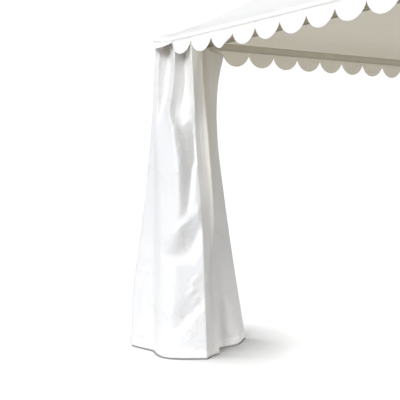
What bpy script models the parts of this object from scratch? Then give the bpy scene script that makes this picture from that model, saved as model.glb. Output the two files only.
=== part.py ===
"""Pagoda tent: an open square frame on four posts, a swept-up roof on curved hip rafters,
scalloped valances round the roof edge, and a pair of gathered curtains at each post.

Metres, +Z up. The origin is on the ground at the middle of the plan. The front is the -Y side.
One side and one corner are modelled, and three more of each are turned round the middle.
"""

import math

import bmesh
import bpy
from mathutils import Matrix, Vector

# Driving dimensions
POST_SPACING = 4.0  # between the centre lines of neighbouring posts
BEAM_BOTTOM = 2.325
BEAM_SIZE = 0.050
POST_SIZE = 0.060
OVERHANG = 0.262  # from a post's centre line out to the roof corner
EDGE_BOW = 0.089  # how far the roof edge curves in at the middle of a side
ROOF_CORNER_Z = 2.391
HIP_SLOPE = 0.29  # rise of a hip at the roof corner, for each metre of plan
HIP_CURVE = 0.085  # how fast that slope grows towards the peak
LOBE_PITCH = 0.2451
LOBE_DEPTH = 0.092
VALANCE_BAND = 0.061  # plain cloth between the roof edge and the tops of the slits

# Section sizes
GAP = 0.0003
PLATE_SIZE = 0.150
PLATE_THICK = 0.006
HEAD_SIZE = 0.070
RAFTER_RADIUS = 0.020
CROWN_HALF = 0.060
CROWN_CHAMFER = 0.030
CROWN_DEPTH = 0.170
CAP_RADIUS = 0.105
CAP_RISE = 0.130
ROOF_THICK = 0.004
VALANCE_THICK = 0.003
CURTAIN_THICK = 0.003
HEM_CLEARANCE = 0.010
FOLD_TOP = 2.300  # a fold line's height at the curtain's top

# Fineness of the curved pieces
PANEL_COLUMNS = 12
PANEL_ROWS = 10
LOBE_SEGMENTS = 6
RAFTER_POINTS = 14
CURTAIN_LEVELS = (2.10, 1.97, 1.85, 1.70, 1.52, 1.30, 1.02, 0.70, 0.36)  # heights
STEPS_PER_FOLD = 2

# Worked out from the above
HALF_SPACING = POST_SPACING / 2
ROOF_HALF = HALF_SPACING + OVERHANG
BEAM_TOP = BEAM_BOTTOM + BEAM_SIZE
CURTAIN_TOP = BEAM_BOTTOM - GAP
SLIT_TOP = ROOF_CORNER_Z - VALANCE_BAND
VALANCE_LENGTH = 2 * ROOF_HALF - VALANCE_THICK * 1.25 - GAP
VALANCE_FOOT = SLIT_TOP - LOBE_DEPTH
HANG_OFFSET = VALANCE_THICK + GAP + CURTAIN_THICK / 2

SIDES = ("front", "right", "back", "left")
CORNERS = ("front_left", "front_right", "back_right", "back_left")

# The broad panel of the curtain at the front left corner faces halfway out of that corner's right
# hand side. Its folds are placed across that panel and out from it, from the post's axis.
ACROSS = Vector((0.523, 0.852, 0.0)).normalized()
OUTWARD = Vector((ACROSS.y, -ACROSS.x, 0.0))

# A curtain is drawn between its fold lines, from its outer edge to the one that is folded back
# inside the post. A line's points are (height, across, out, edge) from the top to the hem, where
# height is counted from FOLD_TOP at the top, and edge is 0 for a soft fold and 1 for a sharp one.
NEAR_LINES = (
    ((2.30, -0.296, -0.119, 0), (1.20, -0.345, -0.170, 0), (0.01, -0.438, -0.235, 0)),
    (
        (2.30, -0.353, -0.083, 0),
        (1.84, -0.376, -0.100, 0),
        (1.38, -0.416, -0.120, 0),
        (0.92, -0.473, -0.145, 0),
        (0.22, -0.554, -0.178, 0),
        (0.01, -0.547, -0.180, 0),
    ),
    (
        (2.30, -0.320, -0.038, 1),
        (2.08, -0.333, -0.030, 1),
        (1.87, -0.333, -0.020, 1),
        (1.675, -0.353, -0.010, 0.6),
        (1.16, -0.362, 0.000, 0.8),
        (0.01, -0.366, 0.000, 1),
    ),
    (
        (2.30, -0.247, -0.090, 0.5),
        (2.11, -0.262, -0.080, 0.5),
        (1.87, -0.292, -0.035, 0.5),
        (1.675, -0.310, 0.070, 0),
        (1.16, -0.300, 0.135, 0),
        (0.01, -0.324, 0.132, 0),
    ),
    (
        (2.30, -0.197, 0.132, 1),
        (1.97, -0.213, 0.145, 1),
        (1.84, -0.236, 0.160, 1),
        (1.70, -0.215, 0.215, 0.7),
        (1.52, -0.190, 0.238, 0.2),
        (1.20, -0.165, 0.258, 0.2),
        (0.95, -0.190, 0.240, 0),
        (0.01, -0.246, 0.216, 0),
    ),
    (
        (2.30, -0.128, 0.020, 0.7),
        (1.97, -0.133, 0.020, 0.7),
        (1.84, -0.156, 0.050, 0.7),
        (1.70, -0.135, 0.150, 0),
        (1.52, -0.105, 0.178, 0),
        (1.20, -0.085, 0.205, 0),
        (0.90, -0.105, 0.225, 0),
        (0.01, -0.110, 0.237, 0),
    ),
    (
        (2.30, -0.075, 0.304, 1),
        (1.90, -0.052, 0.240, 1),
        (1.72, -0.045, 0.140, 1),
        (1.50, -0.034, 0.135, 1),
        (1.30, -0.018, 0.160, 1),
        (1.02, 0.003, 0.215, 1),
        (0.50, 0.025, 0.228, 1),
        (0.01, 0.042, 0.231, 1),
    ),
    (
        (2.30, -0.030, 0.265, 1),
        (1.92, -0.030, 0.205, 1),
        (1.72, -0.018, 0.110, 1),
        (1.50, -0.002, 0.103, 1),
        (1.17, 0.038, 0.135, 0.5),
        (0.43, 0.072, 0.160, 0),
        (0.01, 0.080, 0.150, 0),
    ),
    (
        (2.30, 0.004, 0.190, 0),
        (2.15, 0.008, 0.175, 0),
        (2.04, 0.014, 0.150, 0),
        (1.86, 0.032, 0.108, 0),
        (1.70, 0.047, 0.066, 0),
        (1.50, 0.063, 0.062, 0),
        (1.15, 0.090, 0.085, 0),
        (0.42, 0.092, 0.085, 0),
        (0.01, 0.138, 0.076, 0),
    ),
)
FAR_LINES = (
    ((2.30, -0.297, -0.102, 0), (0.01, -0.434, -0.181, 0)),
    ((2.30, -0.167, -0.177, 0), (0.01, -0.258, -0.229, 0)),
    ((2.30, -0.036, -0.249, 0), (1.80, -0.030, -0.270, 0), (0.01, -0.107, -0.404, 0)),
    ((2.30, 0.097, -0.320, 0), (1.80, 0.060, -0.340, 0), (0.01, 0.167, -0.455, 0)),
    (
        (2.30, 0.180, -0.364, 1),
        (2.07, 0.136, -0.345, 1),
        (1.87, 0.124, -0.340, 1),
        (1.62, 0.132, -0.340, 1),
        (1.17, 0.185, -0.350, 1),
        (0.65, 0.259, -0.380, 1),
        (0.01, 0.362, -0.433, 1),
    ),
    (
        (2.30, 0.083, -0.100, 1),
        (1.85, 0.087, -0.110, 1),
        (1.60, 0.103, -0.130, 0.6),
        (1.17, 0.132, -0.180, 0),
        (0.70, 0.165, -0.200, 0),
        (0.01, 0.291, -0.210, 0),
    ),
    (
        (2.30, 0.064, -0.020, 0),
        (1.60, 0.080, -0.045, 0),
        (1.17, 0.100, -0.055, 0),
        (0.70, 0.115, -0.065, 0),
        (0.01, 0.153, -0.094, 0),
    ),
    (
        (2.30, 0.040, 0.048, 0),
        (1.60, 0.064, 0.000, 0),
        (1.00, 0.078, 0.005, 0),
        (0.01, 0.125, -0.010, 0),
    ),
    (
        (2.30, 0.000, 0.080, 0),
        (1.60, 0.036, 0.044, 0),
        (1.00, 0.055, 0.050, 0),
        (0.01, 0.100, 0.040, 0),
    ),
)

FABRIC = (0.90, 0.895, 0.875, 1.0)
ALUMINIUM = (0.62, 0.62, 0.60, 1.0)
STEEL = (0.45, 0.46, 0.47, 1.0)


def clear_scene():
    for obj in list(bpy.data.objects):
        bpy.data.objects.remove(obj, do_unlink=True)


def new_collection(name, hidden=False):
    collection = bpy.data.collections.new(name)
    collection.hide_render = hidden
    bpy.context.scene.collection.children.link(collection)
    return collection


def new_material(name, colour, roughness, metallic):
    material = bpy.data.materials.new(name)
    material.use_nodes = True
    shader = material.node_tree.nodes["Principled BSDF"]
    shader.inputs["Base Color"].default_value = colour
    shader.inputs["Roughness"].default_value = roughness
    shader.inputs["Metallic"].default_value = metallic
    return material


def new_object(name, mesh, collection, colour, roughness=0.6, metallic=0.0, turn=0):
    """Adds a mesh as a named piece, turned by quarter turns round the middle of the tent."""
    obj = bpy.data.objects.new(name, mesh)
    collection.objects.link(obj)
    obj.rotation_euler.z = turn * math.pi / 2
    if not mesh.materials:
        mesh.materials.append(new_material(name, colour, roughness, metallic))
    return obj


def box_mesh(name, low, high, bevel=0.0):
    mesh = bpy.data.meshes.new(name)
    bm = bmesh.new()
    size = Vector(high) - Vector(low)
    centre = (Vector(high) + Vector(low)) / 2
    bmesh.ops.create_cube(bm, size=1.0, matrix=Matrix.Translation(centre) @ Matrix.Diagonal((*size, 1)))
    if bevel:
        bmesh.ops.bevel(bm, geom=list(bm.edges), offset=bevel, segments=1, affect="EDGES")
    bm.to_mesh(mesh)
    bm.free()
    return mesh


def hip_height(run):
    """Height of the cloth along a hip, at this plan distance from the roof corner."""
    return ROOF_CORNER_Z + HIP_SLOPE * run + HIP_CURVE * run * run


def hip_run(half):
    """Plan distance from the roof corner to where a hip is this far out on both axes."""
    return (ROOF_HALF - half) * math.sqrt(2)


def roof_point(half, across):
    """A point of the front roof panel, on the level whose hips are this far out on both axes.

    across runs from -1 at the left hip to 1 at the right one.
    """
    bow = EDGE_BOW * half / ROOF_HALF * (1 - across * across)
    return Vector((half * across, -(half - bow), hip_height(hip_run(half))))


def edge_offset(x):
    """How far out the roof edge of the front side lies at this x."""
    return -roof_point(ROOF_HALF, x / ROOF_HALF).y


def post_mesh():
    half = POST_SIZE / 2
    low = (-HALF_SPACING - half, -HALF_SPACING - half, PLATE_THICK + GAP)
    high = (-HALF_SPACING + half, -HALF_SPACING + half, BEAM_TOP)
    return box_mesh("post", low, high, bevel=0.004)


def base_plate_mesh():
    half = PLATE_SIZE / 2
    low = (-HALF_SPACING - half, -HALF_SPACING - half, 0.0)
    high = (-HALF_SPACING + half, -HALF_SPACING + half, PLATE_THICK)
    return box_mesh("base_plate", low, high)


def beam_mesh():
    end = HALF_SPACING - POST_SIZE / 2 - GAP
    half = BEAM_SIZE / 2
    low = (-end, -HALF_SPACING - half, BEAM_BOTTOM)
    high = (end, -HALF_SPACING + half, BEAM_TOP)
    return box_mesh("beam", low, high, bevel=0.004)


def rafter_path():
    """The centre line of the front left hip rafter, just under the hip of the cloth."""
    first = hip_run(ROOF_HALF - 0.036)
    last = hip_run(CROWN_HALF * 0.7)
    cloth_bow = 1 / (1 - 2 * EDGE_BOW / ROOF_HALF)
    points = []
    for i in range(RAFTER_POINTS):
        run = first + (last - first) * i / (RAFTER_POINTS - 1)
        slope = (HIP_SLOPE + 2 * HIP_CURVE * run) * math.sqrt(2) * cloth_bow
        drop = ROOF_THICK + (RAFTER_RADIUS + 0.0015) * math.sqrt(1 + slope * slope)
        half = ROOF_HALF - run / math.sqrt(2)
        points.append(Vector((-half, -half, hip_height(run) - drop)))
    return points


def tube_object(name, points, radius, collection):
    """A round bar along these points, as a mesh with its caps joined on."""
    curve = bpy.data.curves.new(name, "CURVE")
    curve.dimensions = "3D"
    curve.bevel_depth = radius
    curve.bevel_resolution = 2
    curve.use_fill_caps = True
    spline = curve.splines.new("POLY")
    spline.points.add(len(points) - 1)
    for spot, point in zip(spline.points, points):
        spot.co = (*point, 1.0)
    guide = bpy.data.objects.new(name + "_guide", curve)
    collection.objects.link(guide)
    graph = bpy.context.evaluated_depsgraph_get()
    mesh = bpy.data.meshes.new_from_object(guide.evaluated_get(graph))
    bpy.data.objects.remove(guide, do_unlink=True)
    bm = bmesh.new()
    bm.from_mesh(mesh)
    bmesh.ops.remove_doubles(bm, verts=bm.verts, dist=1e-5)
    bmesh.ops.recalc_face_normals(bm, faces=bm.faces)
    bm.to_mesh(mesh)
    bm.free()
    mesh.materials.clear()
    tube = bpy.data.objects.new(name, mesh)
    collection.objects.link(tube)
    return tube


def cut(obj, cutter):
    """Takes the cutter's shape out of the object."""
    modifier = obj.modifiers.new("cut_" + cutter.name, "BOOLEAN")
    modifier.operation = "DIFFERENCE"
    modifier.solver = "EXACT"
    modifier.object = cutter


def applied_mesh(obj):
    """The object's mesh with its modifiers worked in."""
    graph = bpy.context.evaluated_depsgraph_get()
    mesh = bpy.data.meshes.new_from_object(obj.evaluated_get(graph))
    mesh.materials.clear()
    return mesh


def crown_mesh(name, extra, low, high):
    """The crown block: a square prism with its corners cut to face the rafters."""
    half = CROWN_HALF - GAP + extra
    chamfer = CROWN_CHAMFER
    mesh = bpy.data.meshes.new(name)
    bm = bmesh.new()
    place = Matrix.Translation((0, 0, (low + high) / 2))
    size = Matrix.Diagonal((2 * half, 2 * half, high - low, 1))
    bmesh.ops.create_cube(bm, size=1.0, matrix=place @ size)
    upright = [e for e in bm.edges if abs(e.verts[0].co.z - e.verts[1].co.z) > 1e-4]
    bmesh.ops.bevel(bm, geom=upright, offset=chamfer, segments=1, affect="EDGES")
    bm.to_mesh(mesh)
    bm.free()
    return mesh


def rafter_mesh(cutters):
    """One hip rafter, with its upper end cut to the crown block."""
    rafter = tube_object("rafter_blank", rafter_path(), RAFTER_RADIUS, cutters)
    peak = hip_height(hip_run(CROWN_HALF))
    clearance = crown_mesh("crown_clearance", GAP, peak - 1.0, peak + 1.0)
    crown = bpy.data.objects.new("crown_clearance", clearance)
    cutters.objects.link(crown)
    cut(rafter, crown)
    return applied_mesh(rafter)


def head_mesh(cutters):
    """The casting on a post's top that carries the rafter, with a saddle cut for it."""
    half = HEAD_SIZE / 2
    run = hip_run(HALF_SPACING)
    low = (-HALF_SPACING - half, -HALF_SPACING - half, BEAM_TOP + GAP)
    high = (-HALF_SPACING + half, -HALF_SPACING + half, hip_height(run) - 0.034)
    blank = bpy.data.objects.new("head_blank", box_mesh("head_blank", low, high))
    cutters.objects.link(blank)
    cut(blank, tube_object("rafter_clearance", rafter_path(), RAFTER_RADIUS + GAP, cutters))
    return applied_mesh(blank)


def peak_cap_mesh(base):
    """The turned cap over the crown: a shallow cone with a rounded rim and a small knob."""
    profile = (
        (0.0, CAP_RISE),
        (0.012, CAP_RISE - 0.004),
        (0.018, CAP_RISE - 0.016),
        (0.012, CAP_RISE - 0.030),
        (0.030, CAP_RISE - 0.052),
        (CAP_RADIUS * 0.6, 0.040),
        (CAP_RADIUS, 0.012),
        (CAP_RADIUS, 0.0),
        (0.0, 0.0),
    )
    mesh = bpy.data.meshes.new("peak_cap")
    bm = bmesh.new()
    verts = [bm.verts.new((x, 0.0, base + z)) for x, z in profile]
    edges = [bm.edges.new(pair) for pair in zip(verts, verts[1:])]
    bmesh.ops.spin(
        bm, geom=verts + edges, cent=(0, 0, 0), axis=(0, 0, 1), angle=2 * math.pi, steps=20, use_merge=True
    )
    bmesh.ops.remove_doubles(bm, verts=bm.verts, dist=1e-5)
    bmesh.ops.recalc_face_normals(bm, faces=bm.faces)
    bm.to_mesh(mesh)
    bm.free()
    return mesh


def grid_mesh(name, rows):
    """An open surface through rows of points."""
    mesh = bpy.data.meshes.new(name)
    bm = bmesh.new()
    made = [[bm.verts.new(point) for point in row] for row in rows]
    for upper, lower in zip(made, made[1:]):
        for i in range(len(upper) - 1):
            bm.faces.new((upper[i], lower[i], lower[i + 1], upper[i + 1]))
    bm.to_mesh(mesh)
    bm.free()
    return mesh


def roof_panel_mesh():
    """The front roof panel, a thin sheet from the roof edge up to the crown block."""
    rows = []
    for j in range(PANEL_ROWS + 1):
        half = CROWN_HALF + (ROOF_HALF - CROWN_HALF) * (j / PANEL_ROWS) ** 1.15
        inset = 1 - GAP / 2 / half
        row = [roof_point(half, (2 * i / PANEL_COLUMNS - 1)) for i in range(PANEL_COLUMNS + 1)]
        if j == 0:
            row = [Vector((p.x, -CROWN_HALF, p.z)) for p in row]
        for point in row:
            point.x *= inset
        rows.append(row)
    mesh = grid_mesh("roof_panel", rows)
    bm = bmesh.new()
    bm.from_mesh(mesh)
    lower = bmesh.ops.extrude_face_region(bm, geom=list(bm.faces), use_keep_orig=True)["geom"]
    moved = [item for item in lower if isinstance(item, bmesh.types.BMVert)]
    bmesh.ops.translate(bm, verts=moved, vec=(0, 0, -ROOF_THICK))
    bmesh.ops.recalc_face_normals(bm, faces=bm.faces)
    bm.to_mesh(mesh)
    bm.free()
    return mesh


def lobe_drop(distance):
    """How far the scalloped edge hangs below the slits, this far along the side.

    What is left after the last whole lobe is a smaller one of the same form.
    """
    whole = math.floor(VALANCE_LENGTH / LOBE_PITCH) * LOBE_PITCH
    size = 1.0 if distance < whole - 1e-6 else (VALANCE_LENGTH - whole) / LOBE_PITCH
    start = math.floor(distance / LOBE_PITCH) * LOBE_PITCH if size == 1.0 else whole
    half = LOBE_PITCH / 2
    radius = (half * half + LOBE_DEPTH * LOBE_DEPTH) / (2 * LOBE_DEPTH)
    from_middle = min(LOBE_PITCH, max(0.0, (distance - start) / size)) - half
    drop = math.sqrt(radius * radius - from_middle * from_middle) - (radius - LOBE_DEPTH)
    return size * max(0.0, drop)


def valance_stations():
    """Distances along a side where the scallops need a point, close together at each lobe's ends.

    The last lobe stops short of the next side's valance, whose edge comes in at a slight angle.
    """
    stations = []
    start = 0.0
    while start < VALANCE_LENGTH - GAP:
        length = min(LOBE_PITCH, VALANCE_LENGTH - start)
        for i in range(LOBE_SEGMENTS):
            stations.append(start + length * (1 - math.cos(math.pi * i / LOBE_SEGMENTS)) / 2)
        start += LOBE_PITCH
    return stations + [VALANCE_LENGTH]


def valance_object(name, collection, turn):
    """The scalloped valance of one side, hanging under the roof edge."""
    upper = []
    lower = []
    for distance in valance_stations():
        x = distance - ROOF_HALF
        y = -edge_offset(x)
        upper.append((x, y, ROOF_CORNER_Z - ROOF_THICK - GAP))
        lower.append((x, y, SLIT_TOP - lobe_drop(distance)))
    obj = new_object(name, grid_mesh(name, (upper, lower)), collection, FABRIC, turn=turn)
    thick(obj, VALANCE_THICK, -1)
    return obj


def thick(obj, thickness, offset):
    modifier = obj.modifiers.new("cloth", "SOLIDIFY")
    modifier.thickness = thickness
    modifier.offset = offset


def hanging_line(x):
    """Where a curtain's middle hangs just inside the front valance, from the post's centre."""
    return HALF_SPACING - edge_offset(x - HALF_SPACING) + HANG_OFFSET


def slope_at(line, i):
    """How fast a fold line's across, out and edge change with height at one of its points."""
    before, after = line[max(0, i - 1)], line[min(len(line) - 1, i + 1)]
    return [(after[k] - before[k]) / (after[0] - before[0]) for k in (1, 2, 3)]


def curve_between(start, end, leave, arrive, t):
    """A value on the smooth curve from start to end; leave and arrive are its slopes there."""
    value = start * (2 * t**3 - 3 * t**2 + 1) + end * (3 * t**2 - 2 * t**3)
    return value + leave * (t**3 - 2 * t**2 + t) + arrive * (t**3 - t**2)


def along_line(line, height):
    """A fold line's place and edge at this height, on a smooth curve through its points."""
    i = 0
    while i < len(line) - 2 and height < line[i + 1][0]:
        i += 1
    step = line[i + 1][0] - line[i][0]
    t = min(1.0, max(0.0, (height - line[i][0]) / step))
    leave, arrive = slope_at(line, i), slope_at(line, i + 1)
    across, out, edge = (
        curve_between(line[i][k + 1], line[i + 1][k + 1], leave[k] * step, arrive[k] * step, t)
        for k in range(3)
    )
    return Vector((across, out)), min(1.0, max(0.0, edge))


def drawn_between(places, edges):
    """Points from one fold line's place to the next, sharp at sharp folds."""
    steps = [end - start for start, end in zip(places, places[1:])]
    steps = [steps[0]] + steps + [steps[-1]]
    points = []
    for i in range(len(places) - 1):
        leave = ((steps[i] + steps[i + 1]) / 2).lerp(steps[i + 1], edges[i])
        arrive = ((steps[i + 1] + steps[i + 2]) / 2).lerp(steps[i + 1], edges[i + 1])
        for k in range(STEPS_PER_FOLD):
            t = k / STEPS_PER_FOLD
            points.append(curve_between(places[i], places[i + 1], leave, arrive, t))
    return points + [places[-1]]


def curtain_line(lines, height):
    """The curtain's plan at this height, from the post's centre, kept behind both valances."""
    followed = [along_line(line, height - CURTAIN_TOP + FOLD_TOP) for line in lines]
    plan = []
    for across, out in drawn_between([place for place, _ in followed], [edge for _, edge in followed]):
        x, y = across * ACROSS.x + out * OUTWARD.x, across * ACROSS.y + out * OUTWARD.y
        if height > VALANCE_FOOT - 0.011:
            for _ in range(2):
                x, y = max(x, hanging_line(y)), max(y, hanging_line(x))
        plan.append((x, y))
    return plan


def curtain_object(name, collection, lines, turn):
    """A gathered curtain at the front left post."""
    rows = []
    for height in (CURTAIN_TOP, VALANCE_FOOT - 0.010, *CURTAIN_LEVELS, HEM_CLEARANCE):
        plan = curtain_line(lines, height)
        rows.append([Vector((x - HALF_SPACING, y - HALF_SPACING, height)) for x, y in plan])
    obj = new_object(name, grid_mesh(name, rows), collection, FABRIC, turn=turn)
    thick(obj, CURTAIN_THICK, 0)
    return obj


def build_frame(tent, cutters):
    pieces = (
        ("post_", post_mesh(), ALUMINIUM, CORNERS),
        ("base_plate_", base_plate_mesh(), STEEL, CORNERS),
        ("post_head_", head_mesh(cutters), ALUMINIUM, CORNERS),
        ("hip_rafter_", rafter_mesh(cutters), ALUMINIUM, CORNERS),
        ("eave_beam_", beam_mesh(), ALUMINIUM, SIDES),
    )
    for prefix, mesh, colour, places in pieces:
        for turn, place in enumerate(places):
            new_object(prefix + place, mesh, tent, colour, 0.38, 0.9, turn)
    top = hip_height(hip_run(CROWN_HALF)) + 0.006
    crown = crown_mesh("crown_block", 0.0, top - CROWN_DEPTH, top)
    new_object("crown_block", crown, tent, ALUMINIUM, 0.38, 0.9)
    new_object("peak_cap", peak_cap_mesh(top + GAP), tent, FABRIC, 0.5)


def build_cloth(tent):
    panel = roof_panel_mesh()
    for turn, side in enumerate(SIDES):
        new_object("roof_panel_" + side, panel, tent, FABRIC, turn=turn)
        valance_object("valance_" + side, tent, turn)
        near = "curtain_" + side + "_left_end"
        far = "curtain_" + SIDES[turn - 1] + "_right_end"
        curtain_object(near, tent, NEAR_LINES, turn)
        curtain_object(far, tent, FAR_LINES, turn)


def main():
    clear_scene()
    tent = new_collection("pagoda_tent")
    cutters = new_collection("cutters", hidden=True)
    build_frame(tent, cutters)
    build_cloth(tent)
    for helper in cutters.objects:
        helper.hide_render = True
        helper.display_type = "WIRE"


main()
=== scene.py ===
"""The pagoda tent's looks: coated cloth with its folds, hems and stitching, and finished metal.

Metres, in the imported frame: the origin is on the ground at the middle of the plan and the front
is the -Y side. One side and one corner are shaped and turned by quarter turns. The curtains of
the other corners then hang a little differently, with creases of their own.
"""

import math
from collections import namedtuple

import bmesh
import bpy
import numpy as np
from mathutils import Matrix, Vector


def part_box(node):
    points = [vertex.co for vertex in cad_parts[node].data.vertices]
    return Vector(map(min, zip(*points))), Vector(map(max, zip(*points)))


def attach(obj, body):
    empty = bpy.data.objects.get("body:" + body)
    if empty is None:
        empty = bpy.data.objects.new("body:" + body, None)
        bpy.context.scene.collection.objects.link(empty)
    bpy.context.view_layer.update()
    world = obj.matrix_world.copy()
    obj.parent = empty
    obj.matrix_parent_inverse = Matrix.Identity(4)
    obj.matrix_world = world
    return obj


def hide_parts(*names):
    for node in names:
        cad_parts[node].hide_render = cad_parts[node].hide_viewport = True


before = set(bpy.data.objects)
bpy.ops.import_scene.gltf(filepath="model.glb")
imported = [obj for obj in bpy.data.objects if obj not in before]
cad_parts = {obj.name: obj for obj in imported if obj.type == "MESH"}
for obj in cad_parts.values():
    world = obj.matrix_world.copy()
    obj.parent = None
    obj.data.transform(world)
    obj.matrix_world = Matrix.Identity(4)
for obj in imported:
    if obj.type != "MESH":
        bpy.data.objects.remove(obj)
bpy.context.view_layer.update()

SIDES = ("front", "right", "back", "left")
CORNERS = ("front_left", "front_right", "back_right", "back_left")

# Sizes read from the frame
post_low, post_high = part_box("post_front_left")
beam_low, beam_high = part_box("eave_beam_front")
roof_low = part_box("roof_panel_front")[0]
valance_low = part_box("valance_front")[0]
curtain_low, curtain_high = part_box("curtain_front_left_end")
plate_low, plate_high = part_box("base_plate_front_left")
head_low, head_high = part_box("post_head_front_left")
cap_low, cap_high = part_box("peak_cap")
crown_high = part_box("crown_block")[1]
HALF_SPACING = -(post_low.x + post_high.x) / 2
POST_SIZE = post_high.x - post_low.x
BEAM_SIZE = beam_high.z - beam_low.z
ROOF_HALF = -roof_low.y
CROWN_HALF = crown_high.x
CURTAIN_TOP = curtain_high.z
CURTAIN_HEM = curtain_low.z

# The roof's and the cloth edges' shape, as in the part's source
CAD_ROOF_THICK = 0.004
RAFTER_RADIUS = 0.020
EDGE_BOW = 0.089
HIP_SLOPE = 0.29
HIP_CURVE = 0.085
LOBE_PITCH = 0.2451
LOBE_DEPTH = 0.092
ROOF_CORNER_Z = roof_low.z + CAD_ROOF_THICK
SLIT_TOP = valance_low.z + LOBE_DEPTH
VALANCE_LENGTH = 2 * ROOF_HALF - 0.0040
HANG_OFFSET = 0.0048
FOLD_TOP = 2.300

# Cloth
CLOTH_THICK = 0.0012
HEM_THICK = 0.0026
CURTAIN_HEM_WIDTH = 0.060
EDGE_HEM_WIDTH = 0.035
HEADING = 0.045
# How far the fold lines of the other corners' curtains are moved, at most
LINE_SHIFT = 0.022
STITCH_PITCH = 0.010
STITCH_LENGTH = 0.0062
THREAD_RADIUS = 0.0008

# Fineness of the cloth
CURTAIN_ROWS = 130
STEPS_PER_FOLD = 12
ROOF_ROWS = 60
ROOF_COLUMNS = 56
LOBE_COLUMNS = 16
LOBE_ROWS = 9
BAND_ROWS = 6

# The broad panel of the curtain at the front left corner faces halfway out of that corner's right
# hand side. Its folds are placed across that panel and out from it, from the post's axis.
ACROSS = Vector((0.523, 0.852, 0.0)).normalized()
OUTWARD = Vector((ACROSS.y, -ACROSS.x, 0.0))

# A curtain is drawn between its fold lines, from its outer edge to the one that is folded back
# inside the post. A line's points are (height, across, out, edge) from the top to the hem, where
# height is counted from FOLD_TOP at the top, and edge is 0 for a soft fold and 1 for a sharp one.
NEAR_LINES = (
    ((2.30, -0.296, -0.119, 0), (1.20, -0.345, -0.170, 0), (0.01, -0.438, -0.235, 0)),
    (
        (2.30, -0.353, -0.083, 0), (1.84, -0.376, -0.100, 0), (1.38, -0.416, -0.120, 0),
        (0.92, -0.473, -0.145, 0), (0.22, -0.554, -0.178, 0), (0.01, -0.547, -0.180, 0),
    ),
    (
        (2.30, -0.320, -0.038, 1), (2.08, -0.333, -0.030, 1), (1.87, -0.333, -0.020, 1),
        (1.675, -0.353, -0.010, 0.6), (1.16, -0.362, 0.000, 0.8), (0.01, -0.366, 0.000, 1),
    ),
    (
        (2.30, -0.247, -0.090, 0.5), (2.11, -0.262, -0.080, 0.5), (1.87, -0.292, -0.035, 0.5),
        (1.675, -0.310, 0.070, 0), (1.16, -0.300, 0.135, 0), (0.01, -0.324, 0.132, 0),
    ),
    (
        (2.30, -0.197, 0.132, 1), (1.97, -0.213, 0.145, 1), (1.84, -0.236, 0.160, 1),
        (1.70, -0.215, 0.215, 0.7), (1.52, -0.190, 0.238, 0.2), (1.20, -0.165, 0.258, 0.2),
        (0.95, -0.190, 0.240, 0), (0.01, -0.246, 0.216, 0),
    ),
    (
        (2.30, -0.128, 0.020, 0.7), (1.97, -0.133, 0.020, 0.7), (1.84, -0.156, 0.050, 0.7),
        (1.70, -0.135, 0.150, 0), (1.52, -0.105, 0.178, 0), (1.20, -0.085, 0.205, 0),
        (0.90, -0.105, 0.225, 0), (0.01, -0.110, 0.237, 0),
    ),
    (
        (2.30, -0.075, 0.304, 1), (1.90, -0.052, 0.240, 1), (1.72, -0.045, 0.140, 1),
        (1.50, -0.034, 0.135, 1), (1.30, -0.018, 0.160, 1), (1.02, 0.003, 0.215, 1),
        (0.50, 0.025, 0.228, 1), (0.01, 0.042, 0.231, 1),
    ),
    (
        (2.30, -0.030, 0.265, 1), (1.92, -0.030, 0.205, 1), (1.72, -0.018, 0.110, 1),
        (1.50, -0.002, 0.103, 1), (1.17, 0.038, 0.135, 0.5), (0.43, 0.072, 0.160, 0),
        (0.01, 0.080, 0.150, 0),
    ),
    (
        (2.30, 0.004, 0.190, 0), (2.15, 0.008, 0.175, 0), (2.04, 0.014, 0.150, 0),
        (1.86, 0.032, 0.108, 0), (1.70, 0.047, 0.066, 0), (1.50, 0.063, 0.062, 0),
        (1.15, 0.090, 0.085, 0), (0.42, 0.092, 0.085, 0), (0.01, 0.138, 0.076, 0),
    ),
)
FAR_LINES = (
    ((2.30, -0.297, -0.102, 0), (0.01, -0.434, -0.181, 0)),
    ((2.30, -0.167, -0.177, 0), (0.01, -0.258, -0.229, 0)),
    ((2.30, -0.036, -0.249, 0), (1.80, -0.030, -0.270, 0), (0.01, -0.107, -0.404, 0)),
    ((2.30, 0.097, -0.320, 0), (1.80, 0.060, -0.340, 0), (0.01, 0.167, -0.455, 0)),
    (
        (2.30, 0.180, -0.364, 1), (2.07, 0.136, -0.345, 1), (1.87, 0.124, -0.340, 1),
        (1.62, 0.132, -0.340, 1), (1.17, 0.185, -0.350, 1), (0.65, 0.259, -0.380, 1),
        (0.01, 0.362, -0.433, 1),
    ),
    (
        (2.30, 0.083, -0.100, 1), (1.85, 0.087, -0.110, 1), (1.60, 0.103, -0.130, 0.6),
        (1.17, 0.132, -0.180, 0), (0.70, 0.165, -0.200, 0), (0.01, 0.291, -0.210, 0),
    ),
    (
        (2.30, 0.064, -0.020, 0), (1.60, 0.080, -0.045, 0), (1.17, 0.100, -0.055, 0),
        (0.70, 0.115, -0.065, 0), (0.01, 0.153, -0.094, 0),
    ),
    ((2.30, 0.040, 0.048, 0), (1.60, 0.064, 0.000, 0), (1.00, 0.078, 0.005, 0), (0.01, 0.125, -0.010, 0)),
    ((2.30, 0.000, 0.080, 0), (1.60, 0.036, 0.044, 0), (1.00, 0.055, 0.050, 0), (0.01, 0.100, 0.040, 0)),
)
# The lines where each curtain turns back, so that its other face shows
NEAR_TURN_BACK = 6
FAR_TURN_BACK = 4

# A crease runs along a path of (across, height) points. lift is how far it stands out at each
# point, left and right are how wide its flanks are, and edge is 0 for a soft one, 1 for a sharp one.
Crease = namedtuple("Crease", "path lift left right edge")

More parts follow.
